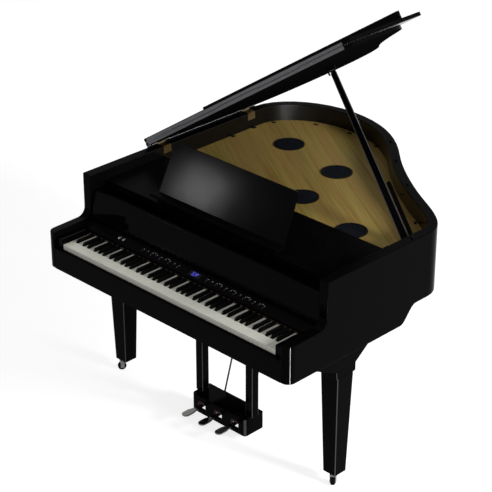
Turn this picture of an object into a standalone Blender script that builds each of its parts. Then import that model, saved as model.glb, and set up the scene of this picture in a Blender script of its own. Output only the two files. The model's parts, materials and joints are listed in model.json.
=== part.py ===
# Digital grand piano with its lid raised, built piece by piece.
# Lengths are in metres. X runs to the player's right, Y to the rear and Z up.
# While it is built, X is zero at the middle of the keyboard, Y at the front of the arms, Z at the floor.
# At the end all of it moves so that the origin lies on the floor, under the middle of the whole piano.

import math

import bmesh
import bpy
import numpy as np
from mathutils import Matrix, Vector

# Clearances
fit_gap = 0.0003
leaf_gap = 0.0008
weld = 0.001
cut_margin = 0.05

# Case. The keyboard sets its width, and the heights follow from the underside of the arms and the keys.
white_count = 52
key_pitch = 0.0235
end_block_width = 0.041
arm_bottom = 0.627
keys_over_arms_base = 0.119
key_top = arm_bottom + keys_over_arms_base
rim_wall = 0.043
case_width = white_count * key_pitch + 2 * (end_block_width + rim_wall)
half_width = case_width / 2
inner_half = half_width - rim_wall
case_depth = 1.502
rim_over_keys = 0.240
rim_top = key_top + rim_over_keys
arm_over_keys = 0.043
arm_top = key_top + arm_over_keys
arm_length = 0.207
arm_fillet = 0.040
arm_slope = 0.004
corner_radius = 0.035
rim_rise = 0.071
rise_start = 0.640
rise_length = 0.090
curve_steps = 9

# The curve of the case: X as a share of half its width, Y in metres, and the reach of each handle
tail_start = 1.235
tail_start_handle = 0.140
tail_peak = -0.4748
tail_peak_handles = (0.273, 0.288)
bentside_mid = (0.190, 1.282)
bentside_mid_handles = ((0.181, 0.131), (0.138, 0.101))
bentside_low = (0.7194, 1.004)
bentside_low_handles = ((0.161, 0.064), (0.144, 0.057))
bentside_end = 0.806
bentside_end_handle = 0.080

# Inner boards
bed_thickness = 0.025
bed_depth = 0.618
belly_thickness = 0.018
bottom_thickness = 0.012
bottom_inset = 0.007
soundboard_drop = 0.076
soundboard_top = rim_top - soundboard_drop
soundboard_thickness = 0.008
top_board_drop = 0.046
top_board_level = rim_top - top_board_drop
top_board_front = 0.294
top_board_overhang = 0.015
top_board_rear = bed_depth + top_board_overhang
top_board_thickness = 0.015
top_board_lip = 0.013

# Speakers
grille_radius = 0.069
grille_height = 0.003
cutout_radius = 0.061
driver_depth = 0.070
magnet_radius = 0.034
speaker_names = ("treble_speaker_left", "bass_speaker_middle", "bass_speaker_front", "treble_speaker_right")
front_speaker_setbacks = (0.182, 0.086)
speaker_places = ((-0.400, 1.156), (-0.050, 1.083), (0.015, bed_depth + front_speaker_setbacks[0]),
                  (0.368, bed_depth + front_speaker_setbacks[1]))

# Keyboard
key_gap = 0.0010
key_front = 0.017
key_rear = 0.250
key_pivot = 0.245
key_height = 0.022
black_front = 0.067
black_rear = 0.158
black_width = 0.0137
black_crown = 0.0100
black_rise = 0.0125
black_slope = 0.0075
black_side_gap = 0.0012
slip_thickness = 0.016
slip_drop = 0.024
slip_top = key_top - slip_drop
block_rise = 0.024
block_top = key_top + block_rise
frame_top_gap = 0.012
frame_base = 0.006
module_low = (-0.300, 0.360)
module_high = (-0.020, 0.500)
module_height = 0.030
felt_depth = 0.0034
felt_height = 0.005
tail_width = 0.008
tail_thickness = 0.004
comb_height = 0.0165
comb_depth = 0.006
comb_pitch = 0.009
comb_start = 0.010

# Control panel
panel_front = 0.1635
panel_rear = 0.2117
panel_rise = 0.004
panel_front_height = 0.014
panel_rear_height = 0.0305
panel_base = key_top + panel_rise
panel_low = panel_base + panel_front_height
panel_high = panel_base + panel_rear_height
panel_crest = 0.205
knob_radius = 0.0065
knob_height = 0.006
knob_inset = 0.206
knob_pitch = 0.025
knob_places = (-inner_half + knob_inset, -inner_half + knob_inset + knob_pitch)
button_length = 0.012
button_width = 0.006
button_height = 0.0022
button_pitch = 0.026
left_buttons_start = -0.300
left_button_count = 9
right_buttons_start = 0.075
right_button_count = 13
display_place = 0.005
display_width = 0.062
display_depth = 0.026
display_thickness = 0.0016
panel_skin = 0.003
button_web = 0.0025
button_clearance = 0.0005

# Fallboard
fall_axis_rise = 0.0495
fall_axis = (0.2135, key_top + fall_axis_rise)
fall_thickness = 0.012
fall_height = 0.1225
fall_lean = 9.5
leaf_length = 0.088
leaf_thickness = 0.010
leaf_lip = 0.014
fall_side_play = 0.0035
fall_pin_radius = 0.003

# Music desk
desk_width = 0.706
desk_height = 0.219
desk_thickness = 0.010
desk_taper = 0.011
desk_lean = 24.6
desk_foot_rise = 0.032
desk_foot = (0.325, top_board_level + desk_foot_rise)
shelf_front = 0.282
shelf_rise = 0.034
shelf_top = top_board_level + shelf_rise
shelf_thickness = 0.012
shelf_width = 0.724
shelf_overhang = 0.030
knuckle_radius = 0.0045
strut_pin = 0.105
strut_offset = 0.010
strut_slope = 60.0
strut_width = 0.014
strut_thickness = 0.004
strut_eye = 0.0035
strut_pin_radius = 0.0015
rack_top_gap = 0.0007
rack_width = 0.013
rack_end = 0.560
bracket_places = (-0.240, 0.240)
bracket_width = 0.048

# Lid
lid_open = 33.4
lid_thickness = 0.016
lid_lift = 0.0065
lid_axis_inset = 0.005
lid_axis_rise = 0.0031
lid_axis = (-half_width + lid_axis_inset, rim_top + lid_axis_rise)
lid_front = 0.571
flap_front = 0.160
flap_gap = 0.003
flap_stand = 0.002
lip_rear = 0.233
lip_thickness = 0.018
lip_drop = 0.035
lip_inset = 0.047
lip_half_width = half_width - lip_inset
strip_thickness = 0.0010
strip_margin = 0.045
strip_parts = 5
strip_barrel = 0.0014
hinge_width = 0.045
hinge_plate = 0.0020
hinge_drop = 0.034
hinge_radius = 0.0026
hinge_places = (0.650, 1.170)

# Lid props
prop_foot_inset = 0.0300
prop_foot_rise = 0.0330
prop_foot_behind_bed = 0.1235
prop_foot = (inner_half - prop_foot_inset, bed_depth + prop_foot_behind_bed, soundboard_top + prop_foot_rise)
prop_rest = 1.050
prop_rest_inset = 0.647
prop_rest_reach = case_width - prop_rest_inset
prop_tip_gap = 0.036
prop_width = 0.036
prop_tip_width = 0.026
prop_thickness = 0.011
short_prop_width = 0.017
short_prop_length = 0.270
prop_pin_radius = 0.003
prop_heel = 0.0035
ear_thickness = 0.004
prop_down_azimuth = 138.0
prop_down_slope = -1.0
cup_height = 0.020
cup_shoulder = 0.038
cup_wall = 0.006
cup_length = 0.020
cup_play = 0.003

# Legs and casters
leg_inset = 0.070
rear_leg_shift = 0.050
leg_place = (half_width - leg_inset, 0.350)
rear_leg_place = (tail_peak * half_width + rear_leg_shift, 1.200)
leg_top_width = 0.092
leg_bottom_width = 0.066
leg_bottom = 0.055
leg_top_drop = 0.107
leg_top = arm_bottom - leg_top_drop
leg_chamfer = 0.003
leg_tenon = 0.010
rear_leg_top_drop = 0.027
rear_leg_top = arm_bottom - rear_leg_top_drop
block_width = 0.094
block_half_depth = 0.055
block_front_reach = 0.210
block_front_drop = 0.030
block_rear_reach = 0.150
block_rear_drop = 0.035
wheel_radius = 0.019
wheel_width = 0.018
wheel_sides = 20
axle_radius = 0.003
caster_trail = 0.020
caster_turns = {"left": 240.0, "right": -60.0, "rear": -60.0}
fork_wall = 0.003
fork_play = 0.0012
swivel_radius = 0.022
swivel_thickness = 0.005

# Pedal lyre
lyre_middle = 0.014
lyre_spread = 0.1475
post_width = 0.040
post_depth = 0.038
post_front = 0.331
box_half_width = 0.159
box_front = 0.297
box_rear = 0.404
box_bottom = 0.025
box_top = 0.108
box_wall = 0.012
box_corner_radius = 0.015
pedal_pitch = 0.0985
pedal_tip = 0.187
pedal_level = 0.067
pedal_width = 0.036
pedal_thickness = 0.007
pedal_axis_setback = 0.022
pedal_axis_depth = box_rear - pedal_axis_setback
pedal_neck = 0.55
pedal_belly = 0.028
pedal_taper = 0.027
pedal_hub_radius = 0.007
pedal_rod_radius = 0.003
brace_radius = 0.004
brace_spread = 0.078
brace_top_setback = 0.048
brace_top_reach = bed_depth - brace_top_setback
brace_foot_height = 0.022
brace_foot_depth = 0.014

bed_bottom = arm_bottom
bed_top = bed_bottom + bed_thickness
rear_bottom = arm_bottom + rim_rise
panel_slope = math.atan2(panel_high - panel_low, panel_crest - panel_front)


def clear_scene():
    for item in list(bpy.data.objects):
        bpy.data.objects.remove(item, do_unlink=True)


def paint(name, colour, roughness, metallic=0.0):
    material = bpy.data.materials.new(name)
    material.use_nodes = True
    shader = material.node_tree.nodes["Principled BSDF"]
    shader.inputs["Base Color"].default_value = (*colour, 1.0)
    shader.inputs["Roughness"].default_value = roughness
    shader.inputs["Metallic"].default_value = metallic
    material.diffuse_color = (*colour, 1.0)
    return material


def add_object(name, bm, material):
    bmesh.ops.recalc_face_normals(bm, faces=bm.faces)
    mesh = bpy.data.meshes.new(name)
    bm.to_mesh(mesh)
    bm.free()
    mesh.materials.append(material)
    item = bpy.data.objects.new(name, mesh)
    bpy.context.scene.collection.objects.link(item)
    return item


def add_prism(bm, outline, axis, low, high):
    # Pushes a flat outline along one axis. Its two numbers are the other two axes in X, Y, Z order.
    def place(point, level):
        spot = list(point)
        spot.insert(axis, level)
        return spot

    bottom = [bm.verts.new(place(p, low)) for p in outline]
    top = [bm.verts.new(place(p, high)) for p in outline]
    bm.faces.new(bottom)
    bm.faces.new(top)
    count = len(outline)
    for i in range(count):
        j = (i + 1) % count
        bm.faces.new((bottom[i], bottom[j], top[j], top[i]))


def add_box(bm, low, high):
    outline = ((low[0], low[1]), (high[0], low[1]), (high[0], high[1]), (low[0], high[1]))
    add_prism(bm, outline, 2, low[2], high[2])


def add_turned(bm, profile, centre, steps, turn=None):
    # Turns a profile of radius and height pairs round the Z axis, closed at both ends on the axis.
    rings = []
    for radius, height in profile:
        if radius == 0.0:
            rings.append([bm.verts.new((0.0, 0.0, height))])
            continue
        ring = []
        for i in range(steps):
            angle = 2 * math.pi * (i + 0.5) / steps
            ring.append(bm.verts.new((radius * math.cos(angle), radius * math.sin(angle), height)))
        rings.append(ring)
    for low, high in zip(rings, rings[1:]):
        for i in range(steps):
            j = (i + 1) % steps
            corners = [low[i % len(low)], low[j % len(low)], high[j % len(high)], high[i % len(high)]]
            bm.faces.new(list(dict.fromkeys(corners)))
    verts = [v for ring in rings for v in ring]
    matrix = Matrix.Translation(centre)
    if turn is not None:
        matrix = matrix @ turn
    bmesh.ops.transform(bm, matrix=matrix, verts=verts)


def close_box(bm):
    # Adds the six faces of a box whose eight corners go round the bottom and then round the top.
    bm.verts.ensure_lookup_table()
    for face in ((0, 1, 2, 3), (4, 5, 6, 7), (0, 1, 5, 4), (1, 2, 6, 5), (2, 3, 7, 6), (3, 0, 4, 7)):
        bm.faces.new([bm.verts[i] for i in face])


def prism(name, outline, axis, low, high, material):
    bm = bmesh.new()
    add_prism(bm, outline, axis, low, high)
    return add_object(name, bm, material)


def block(name, low, high, material):
    bm = bmesh.new()
    add_box(bm, low, high)
    return add_object(name, bm, material)


def turned(name, profile, centre, steps, material, turn=None):
    bm = bmesh.new()
    add_turned(bm, profile, centre, steps, turn)
    return add_object(name, bm, material)


def combine(target, tool, operation):
    # Works one Boolean into the target's mesh and removes the tool.
    step = target.modifiers.new("combine", "BOOLEAN")
    step.operation = operation
    step.solver = "EXACT"
    step.object = tool
    bpy.context.view_layer.update()
    result = target.evaluated_get(bpy.context.evaluated_depsgraph_get())
    mesh = bpy.data.meshes.new_from_object(result)
    target.modifiers.clear()
    target.data = mesh
    bpy.data.objects.remove(tool, do_unlink=True)
    return target


def smooth(item, degrees=35.0):
    item.data.shade_smooth()
    item.data.set_sharp_from_angle(angle=math.radians(degrees))
    return item


def along(axis):
    # A turn that carries the Z axis onto the given direction.
    return Vector(axis).to_track_quat("Z", "Y").to_matrix().to_4x4()


def add_pivot(name, place, axis, parent=None):
    # An empty on a joint's axis, with its own Z along that axis.
    empty = bpy.data.objects.new(name, None)
    empty.empty_display_size = 0.05
    bpy.context.scene.collection.objects.link(empty)
    empty.matrix_world = Matrix.Translation(place) @ along(axis)
    bpy.context.view_layer.update()
    if parent is not None:
        carry(empty, parent)
    return empty


def carry(item, pivot):
    # Hangs a piece on a pivot and leaves it where it is.
    bpy.context.view_layer.update()
    item.parent = pivot
    item.matrix_parent_inverse = pivot.matrix_world.inverted()


def swing(pivot, degrees):
    pivot.matrix_basis = pivot.matrix_basis @ Matrix.Rotation(math.radians(degrees), 4, "Z")
    bpy.context.view_layer.update()


def bezier(start, first, second, end, steps):
    points = []
    for i in range(1, steps + 1):
        t = i / steps
        a = (1 - t) ** 3
        b = 3 * t * (1 - t) ** 2
        c = 3 * t * t * (1 - t)
        d = t ** 3
        points.append((a * start[0] + b * first[0] + c * second[0] + d * end[0],
                       a * start[1] + b * first[1] + c * second[1] + d * end[1]))
    return points


def case_curve():
    # The outer line of the case from the left side, round the tail, to the right side.
    def spot(share, depth):
        return (share * half_width, depth)

    start = spot(-1.0, tail_start)
    peak = spot(tail_peak, case_depth)
    middle = spot(*bentside_mid)
    low = spot(*bentside_low)
    end = spot(1.0, bentside_end)
    before, after = tail_peak_handles
    points = [start]
    points += bezier(start, spot(-1.0, tail_start + tail_start_handle), spot(tail_peak - before, case_depth),
                     peak, curve_steps)
    (run, rise), (run_after, rise_after) = bentside_mid_handles
    points += bezier(peak, spot(tail_peak + after, case_depth),
                     spot(bentside_mid[0] - run, bentside_mid[1] + rise), middle, curve_steps)
    (run, rise), (low_run, low_rise) = bentside_low_handles
    points += bezier(middle, spot(bentside_mid[0] + run_after, bentside_mid[1] - rise_after),
                     spot(bentside_low[0] - run, bentside_low[1] + rise), low, curve_steps)
    points += bezier(low, spot(bentside_low[0] + low_run, bentside_low[1] - low_rise),
                     spot(1.0, bentside_end + bentside_end_handle), end, curve_steps)
    return points


def inset(points, distance):
    # Moves an open line to its right-hand side, point by point along the mean normal.
    moved = []
    for before, here, after in zip(points, points[1:], points[2:]):
        first = (Vector(here) - Vector(before)).normalized()
        second = (Vector(after) - Vector(here)).normalized()
        direction = (first + second).normalized()
        normal = Vector((direction.y, -direction.x))
        stretch = 1 / normal.dot(Vector((first.y, -first.x)))
        moved.append(tuple(Vector(here) + normal * distance * stretch))
    return moved


def inner_curve(gap=0.0):
    # The same line inside the rim wall.
    straight = [(-half_width, corner_radius)] + case_curve() + [(half_width, corner_radius)]
    return inset(straight, rim_wall + gap)


def arc(centre, radius, start, stop, steps):
    points = []
    for i in range(steps + 1):
        angle = math.radians(start + (stop - start) * i / steps)
        points.append((centre[0] + radius * math.cos(angle), centre[1] + radius * math.sin(angle)))
    return points


def inside_outline(front, gap):
    # The room inside the rim from one depth to the tail.
    return [(-inner_half + gap, front)] + inner_curve(gap) + [(inner_half - gap, front)]


# Case
def make_rim(material):
    left_corner = arc((-half_width + corner_radius, corner_radius), corner_radius, 270, 180, 5)
    right_corner = arc((half_width - corner_radius, corner_radius), corner_radius, 0, -90, 5)
    outer = left_corner + case_curve() + right_corner
    inner = [(inner_half, 0.0)] + list(reversed(inner_curve())) + [(-inner_half, 0.0)]
    rim = prism("rim", outer + inner, 2, arm_bottom, rim_top, material)
    over = rim_top + cut_margin
    fillet = arc((arm_length - arm_fillet, arm_top + arm_slope + arm_fillet), arm_fillet, -90, 0, 6)
    arms = [(-cut_margin, arm_top)] + fillet + [(arm_length, over), (-cut_margin, over)]
    combine(rim, prism("arm_cut", arms, 0, -case_width, case_width, material), "DIFFERENCE")
    rise = []
    for i in range(9):
        share = i / 8
        climb = rim_rise * (1 - math.cos(math.pi * share)) / 2
        rise.append((rise_start + rise_length * share, arm_bottom + climb))
    below = arm_bottom - cut_margin
    under = [(rise_start, below)] + rise
    under += [(case_depth + cut_margin, rear_bottom), (case_depth + cut_margin, below)]
    combine(rim, prism("under_cut", under, 0, -case_width, case_width, material), "DIFFERENCE")
    return smooth(rim, 30)


def make_inner_boards(black, wood):
    edge = inner_half - fit_gap
    block("key_bed", (-edge, slip_thickness + fit_gap, bed_bottom), (edge, bed_depth, bed_top), black)
    belly_top = soundboard_top - soundboard_thickness - fit_gap
    block("belly_rail", (-edge, bed_depth - belly_thickness, bed_top + fit_gap),
          (edge, bed_depth, belly_top), black)
    low = rear_bottom + bottom_inset
    bottom = inside_outline(bed_depth + fit_gap, fit_gap)
    prism("bottom_board", bottom, 2, low, low + bottom_thickness, black)
    front = bed_depth - belly_thickness
    board = prism("soundboard", inside_outline(front, fit_gap), 2,
                  soundboard_top - soundboard_thickness, soundboard_top, wood)
    for place in speaker_places:
        hole = ((0.0, -0.05), (cutout_radius, -0.05), (cutout_radius, 0.05), (0.0, 0.05))
        combine(board, turned("speaker_cut", hole, (*place, soundboard_top), 24, wood), "DIFFERENCE")
    drop = soundboard_top + fit_gap
    level = top_board_level
    under = level - top_board_thickness
    front_drop = level - 0.028
    profile = ((top_board_front, front_drop), (top_board_front + top_board_lip, front_drop),
               (top_board_front + top_board_lip, under), (top_board_rear - top_board_lip, under),
               (top_board_rear - top_board_lip, drop), (top_board_rear, drop),
               (top_board_rear, level), (top_board_front, level))
    prism("top_board", profile, 0, -edge, edge, black)


def make_speakers(metal):
    seat = soundboard_top + fit_gap
    under = soundboard_top - soundboard_thickness
    sleeve = cutout_radius - fit_gap
    top = seat + grille_height
    back = under - driver_depth
    for name, place in zip(speaker_names, speaker_places):
        profile = ((0.0, top - 0.001), (grille_radius - 0.010, top - 0.001), (grille_radius - 0.008, top),
                   (grille_radius - 0.002, top), (grille_radius, top - 0.001), (grille_radius, seat),
                   (sleeve, seat), (sleeve, under - 0.004), (magnet_radius, under - 0.036),
                   (magnet_radius, back), (0.0, back))
        smooth(turned(name, profile[::-1], (*place, 0.0), 24, metal), 30)


# Keyboard
white_names = ("a", "b", "c", "d", "e", "f", "g")
black_shift = {"c": -0.0030, "d": 0.0030, "f": -0.0040, "g": 0.0, "a": 0.0040}


def key_edge(index):
    return (index - white_count / 2) * key_pitch


def black_centre(index):
    # The middle of the black key to the right of a white one, or nothing.
    name = white_names[index % 7]
    if index < 0 or index >= white_count - 1 or name not in black_shift:
        return None
    return key_edge(index + 1) + black_shift[name]


def white_outline(index):
    left = key_edge(index) + key_gap / 2
    right = key_edge(index + 1) - key_gap / 2
    head = black_front - black_side_gap
    reach = black_width / 2 + black_side_gap
    before = black_centre(index - 1)
    after = black_centre(index)
    points = [(left, key_front), (right, key_front)]
    if after is not None:
        points += [(right, head), (after - reach, head), (after - reach, key_rear)]
    else:
        points += [(right, key_rear)]
    if before is not None:
        points += [(before + reach, key_rear), (before + reach, head), (left, head)]
    else:
        points += [(left, key_rear)]
    return points


def add_black_key(bm, centre):
    low = key_top - key_height + 0.002
    waist = key_top - 0.002
    top = key_top + black_rise
    side = ((black_front, low), (key_rear, low), (key_rear, waist), (black_rear, waist),
            (black_front, waist))
    crown = ((black_front, waist), (black_rear, waist), (black_rear, top),
             (black_front + black_slope, top))
    flanks = {}
    for sign in (-1, 1):
        base = [bm.verts.new((centre + sign * black_width / 2, y, z)) for y, z in side]
        tips = [bm.verts.new((centre + sign * black_crown / 2, y, z)) for y, z in crown[2:]]
        bm.faces.new(base)
        bm.faces.new((base[4], base[3], tips[0], tips[1]))
        flanks[sign] = (base, tips)
    (base_a, tips_a), (base_b, tips_b) = flanks[-1], flanks[1]
    loop_a = [base_a[0], base_a[1], base_a[2], base_a[3], tips_a[0], tips_a[1], base_a[4]]
    loop_b = [base_b[0], base_b[1], base_b[2], base_b[3], tips_b[0], tips_b[1], base_b[4]]
    for i in range(7):
        j = (i + 1) % 7
        bm.faces.new((loop_a[i], loop_a[j], loop_b[j], loop_b[i]))


def key_rear_middle(index):
    # The middle of what a white key leaves between its black neighbours.
    left = key_edge(index)
    right = key_edge(index + 1)
    reach = black_width / 2 + black_side_gap
    before = black_centre(index - 1)
    after = black_centre(index)
    if before is not None:
        left = before + reach
    if after is not None:
        right = after - reach
    return (left + right) / 2


def join_comb(keys, middles, order, material):
    # Joins the keys of one group by a bar behind their pivot, over the thin tails of the other groups.
    low = key_top - key_height + 0.0005
    high = low + tail_thickness
    bar_front = key_rear + comb_start + comb_pitch * order
    bar_rear = bar_front + comb_depth
    crest = low + comb_height
    tails = bmesh.new()
    profile = ((key_rear - 0.010, low), (bar_rear, low), (bar_rear, crest), (bar_front, crest),
               (bar_front, high), (key_rear - 0.010, high))
    for middle in middles:
        add_prism(tails, profile, 0, middle - tail_width / 2, middle + tail_width / 2)
    combine(keys, add_object("tails", tails, material), "UNION")
    bar = block("bar", (min(middles), bar_front + weld, crest - 0.007),
                (max(middles), bar_rear - weld, crest - weld), material)
    combine(keys, bar, "UNION")


def make_keys(ivory, ebony):
    pivot_place = (0.0, key_pivot, key_top - key_height + fit_gap)
    groups = {"keys_" + name: [] for name in white_names}
    for index in range(white_count):
        groups["keys_" + white_names[index % 7]].append(index)
    blacks = {"black_keys_pairs": [], "black_keys_triples": []}
    for index in range(white_count):
        if black_centre(index) is not None:
            side = "black_keys_pairs" if white_names[index % 7] in "cd" else "black_keys_triples"
            blacks[side].append(index)
    order = 0
    for name, members in groups.items():
        bm = bmesh.new()
        for index in members:
            add_prism(bm, white_outline(index), 2, key_top - key_height, key_top)
        keys = add_object(name, bm, ivory)
        join_comb(keys, [key_rear_middle(index) for index in members], order, ivory)
        carry(keys, add_pivot("pivot_" + name, pivot_place, (1, 0, 0)))
        order += 1
    for name, members in blacks.items():
        bm = bmesh.new()
        middles = [black_centre(index) for index in members]
        for middle in middles:
            add_black_key(bm, middle)
        keys = add_object(name, bm, ebony)
        join_comb(keys, middles, order, ebony)
        carry(keys, add_pivot("pivot_" + name, pivot_place, (1, 0, 0)))
        order += 1


def make_key_carrier(black, metal, felt, green):
    edge = inner_half - fit_gap
    base = bed_top + fit_gap
    key_end = white_count * key_pitch / 2 + key_gap
    slip = block("key_slip", (-edge, 0.0, arm_bottom), (edge, slip_thickness, slip_top), black)
    for sign in (-1, 1):
        low_x, high_x = sorted((sign * key_end, sign * (edge - fit_gap)))
        end = block("end_block", (low_x, slip_thickness - weld, base),
                    (high_x, panel_front - fit_gap, block_top), black)
        combine(slip, end, "UNION")
    bm = bmesh.new()
    under = key_top - key_height
    add_prism(bm, ((key_front + 0.028, base), (key_rear + 0.006, base), (key_rear + 0.006, under - 0.004),
                   (key_pivot + 0.004, under - fit_gap), (key_pivot - 0.001, under - fit_gap),
                   (key_pivot - 0.010, under - 0.006), (key_pivot - 0.010, base + frame_base),
                   (key_front + 0.056, base + frame_base), (key_front + 0.056, under - frame_top_gap),
                   (key_front + 0.028, under - frame_top_gap)), 0, -key_end, key_end)
    add_object("key_frame", bm, metal)
    felt_rear = panel_front - fit_gap
    felt_low = key_top + 0.0008
    block("key_felt", (-key_end + key_gap, felt_rear - felt_depth, felt_low),
          (key_end - key_gap, felt_rear, felt_low + felt_height), felt)
    block("sound_module", module_low + (base,), module_high + (base + module_height,), green)


def panel_point(across, up):
    # A place on the panel's slope, by its distance up the slope and above it.
    y = panel_front + across * math.cos(panel_slope) - up * math.sin(panel_slope)
    z = panel_low + across * math.sin(panel_slope) + up * math.cos(panel_slope)
    return y, z


def panel_face(x, across, up):
    y, z = panel_point(across, up)
    return Vector((x, y, z))


def tilted(item, x):
    # Carries a piece from the flat onto the middle of the panel's slope.
    place = panel_face(x, (panel_crest - panel_front) / math.cos(panel_slope) / 2, 0)
    item.data.transform(Matrix.Translation(place) @ Matrix.Rotation(panel_slope, 4, "X"))
    return place


def flat_box(name, width, depth, low, high, material):
    return block(name, (-width / 2, -depth / 2, low), (width / 2, depth / 2, high), material)


def make_button_strip(name, start, count, panel, material):
    # A row of caps on one web under the panel's skin, each cap through its own slot.
    span = (count - 1) * button_pitch
    caps = bmesh.new()
    holes = bmesh.new()
    web_top = -panel_skin - fit_gap
    half_x = button_length / 2
    half_y = button_width / 2
    for i in range(count):
        x = i * button_pitch - span / 2
        add_box(caps, (x - half_x, -half_y, web_top - weld), (x + half_x, half_y, button_height))
        grown_x = half_x + button_clearance
        grown_y = half_y + button_clearance
        add_box(holes, (x - grown_x, -grown_y, -panel_skin - 0.002), (x + grown_x, grown_y, 0.004))
    strip = flat_box(name, span + button_length + 0.006, button_width + 0.004,
                     web_top - button_web, web_top, material)
    combine(strip, add_object("caps", caps, material), "UNION")
    slots = add_object("slots", holes, material)
    tilted(slots, start + span / 2)
    combine(panel, slots, "DIFFERENCE")
    place = tilted(strip, start + span / 2)
    down = (0.0, math.sin(panel_slope), -math.cos(panel_slope))
    carry(strip, add_pivot("pivot_" + name, place, down))


def make_panel(black, window, metal, pale):
    edge = inner_half - fit_gap
    skin = panel_skin / math.cos(panel_slope)
    slope_run = panel_crest - panel_front
    drop = panel_skin * (panel_high - panel_low) / slope_run
    profile = ((panel_front, panel_base), (panel_front, panel_low), (panel_crest, panel_high),
               (panel_rear, panel_high), (panel_rear, panel_base), (panel_rear - panel_skin, panel_base),
               (panel_rear - panel_skin, panel_high - panel_skin), (panel_crest, panel_high - skin),
               (panel_front + panel_skin, panel_low - skin + drop), (panel_front + panel_skin, panel_base))
    panel = prism("control_panel", profile, 0, -edge, edge, black)
    well = flat_box("display_well", display_width, display_depth, -display_thickness, 0.01, black)
    tilted(well, display_place)
    combine(panel, well, "DIFFERENCE")
    glass = flat_box("display_window", display_width - 2 * fit_gap, display_depth - 2 * fit_gap,
                     -display_thickness + fit_gap, 0.0002, window)
    tilted(glass, display_place)
    normal = (0.0, -math.sin(panel_slope), math.cos(panel_slope))
    for name, x in zip(("volume_knob", "tone_knob"), knob_places):
        profile = ((0.0, fit_gap), (knob_radius, fit_gap), (knob_radius, knob_height - 0.001),
                   (knob_radius - 0.001, knob_height), (0.0, knob_height))
        knob = smooth(turned(name, profile, (0.0, 0.0, 0.0), 20, metal), 30)
        place = tilted(knob, x)
        carry(knob, add_pivot("pivot_" + name, place, normal))
    make_button_strip("left_buttons", left_buttons_start, left_button_count, panel, pale)
    make_button_strip("right_buttons", right_buttons_start, right_button_count, panel, pale)


# Fallboard
def make_fallboard(material):
    half = inner_half - fall_side_play
    pivot = add_pivot("pivot_fallboard", (0.0, *fall_axis), (1, 0, 0))
    lean = math.radians(fall_lean)
    up = Vector((math.sin(lean), math.cos(lean)))
    back = Vector((math.cos(lean), -math.sin(lean)))
    axis = Vector(fall_axis)

    def spot(rise, depth):
        return tuple(axis + up * rise + back * depth)

    radius = fall_thickness / 2
    heel = []
    for i in range(7):
        angle = math.pi * i / 6
        heel.append(spot(-radius * math.sin(angle), radius * math.cos(angle)))
    main = heel + [spot(fall_height - 0.003, -radius), spot(fall_height, -radius + 0.003),
                   spot(fall_height, radius)]
    board = prism("fallboard", main, 0, -half, half, material)
    for sign in (-1, 1):
        low, high = sorted((sign * (half - 0.004), sign * (inner_half - fit_gap)))
        pin = turned("fall_pin", ((0.0, low), (fall_pin_radius, low), (fall_pin_radius, high), (0.0, high)),
                     (0.0, *fall_axis), 14, material, along((1, 0, 0)))
        combine(board, pin, "UNION")
    carry(smooth(board, 40), pivot)
    hinge = spot(fall_height, radius + leaf_gap / 2)
    leaf_pivot = add_pivot("pivot_fallboard_leaf", (0.0, *hinge), (1, 0, 0), pivot)
    inner = radius + leaf_gap
    outer = inner + leaf_thickness
    edge = fall_height - leaf_length
    leaf = (spot(fall_height, inner), spot(edge, inner), spot(edge, outer + leaf_lip),
            spot(edge + leaf_thickness, outer + leaf_lip), spot(edge + leaf_thickness, outer),
            spot(fall_height, outer))
    carry(prism("fallboard_leaf", leaf, 0, -half, half, material), leaf_pivot)


# Music desk
def desk_frame():
    lean = math.radians(desk_lean)
    up = Vector((math.sin(lean), math.cos(lean)))
    back = Vector((math.cos(lean), -math.sin(lean)))
    return Vector(desk_foot), up, back


def make_desk_board(axis, foot, up, back, black):
    bm = bmesh.new()
    for depth in (0.0, desk_thickness):
        low = foot + back * depth
        high = low + up * desk_height
        top_half = desk_width / 2 - desk_taper
        for x, spot in ((-desk_width / 2, low), (desk_width / 2, low), (top_half, high), (-top_half, high)):
            bm.verts.new((x, *spot))
    close_box(bm)
    desk = add_object("music_desk", bm, black)
    pin_place = axis + up * strut_pin + back * strut_offset
    ear_side = strut_width / 2 + fit_gap
    root = axis + back * (desk_thickness / 2 - weld)
    for sign in (-1, 1):
        low, high = sorted((sign * ear_side, sign * (ear_side + strut_thickness)))
        shape = (tuple(root + up * (strut_pin - 0.008)), tuple(pin_place + back * 0.004 - up * 0.004),
                 tuple(pin_place + back * 0.004 + up * 0.004), tuple(root + up * (strut_pin + 0.008)))
        combine(desk, prism("desk_ear", shape, 0, low, high, black), "UNION")
    reach = ear_side + 0.002
    line = ((0.0, -reach), (strut_pin_radius, -reach), (strut_pin_radius, reach), (0.0, reach))
    pin = turned("desk_pin", line, (0.0, *pin_place), 12, black, along((1, 0, 0)))
    combine(desk, pin, "UNION")
    return desk, pin_place


def rack_level(axis):
    # The top of the rack: it clears the strut's eye when the desk lies flat.
    return axis.y - strut_offset - strut_eye - rack_top_gap


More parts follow.
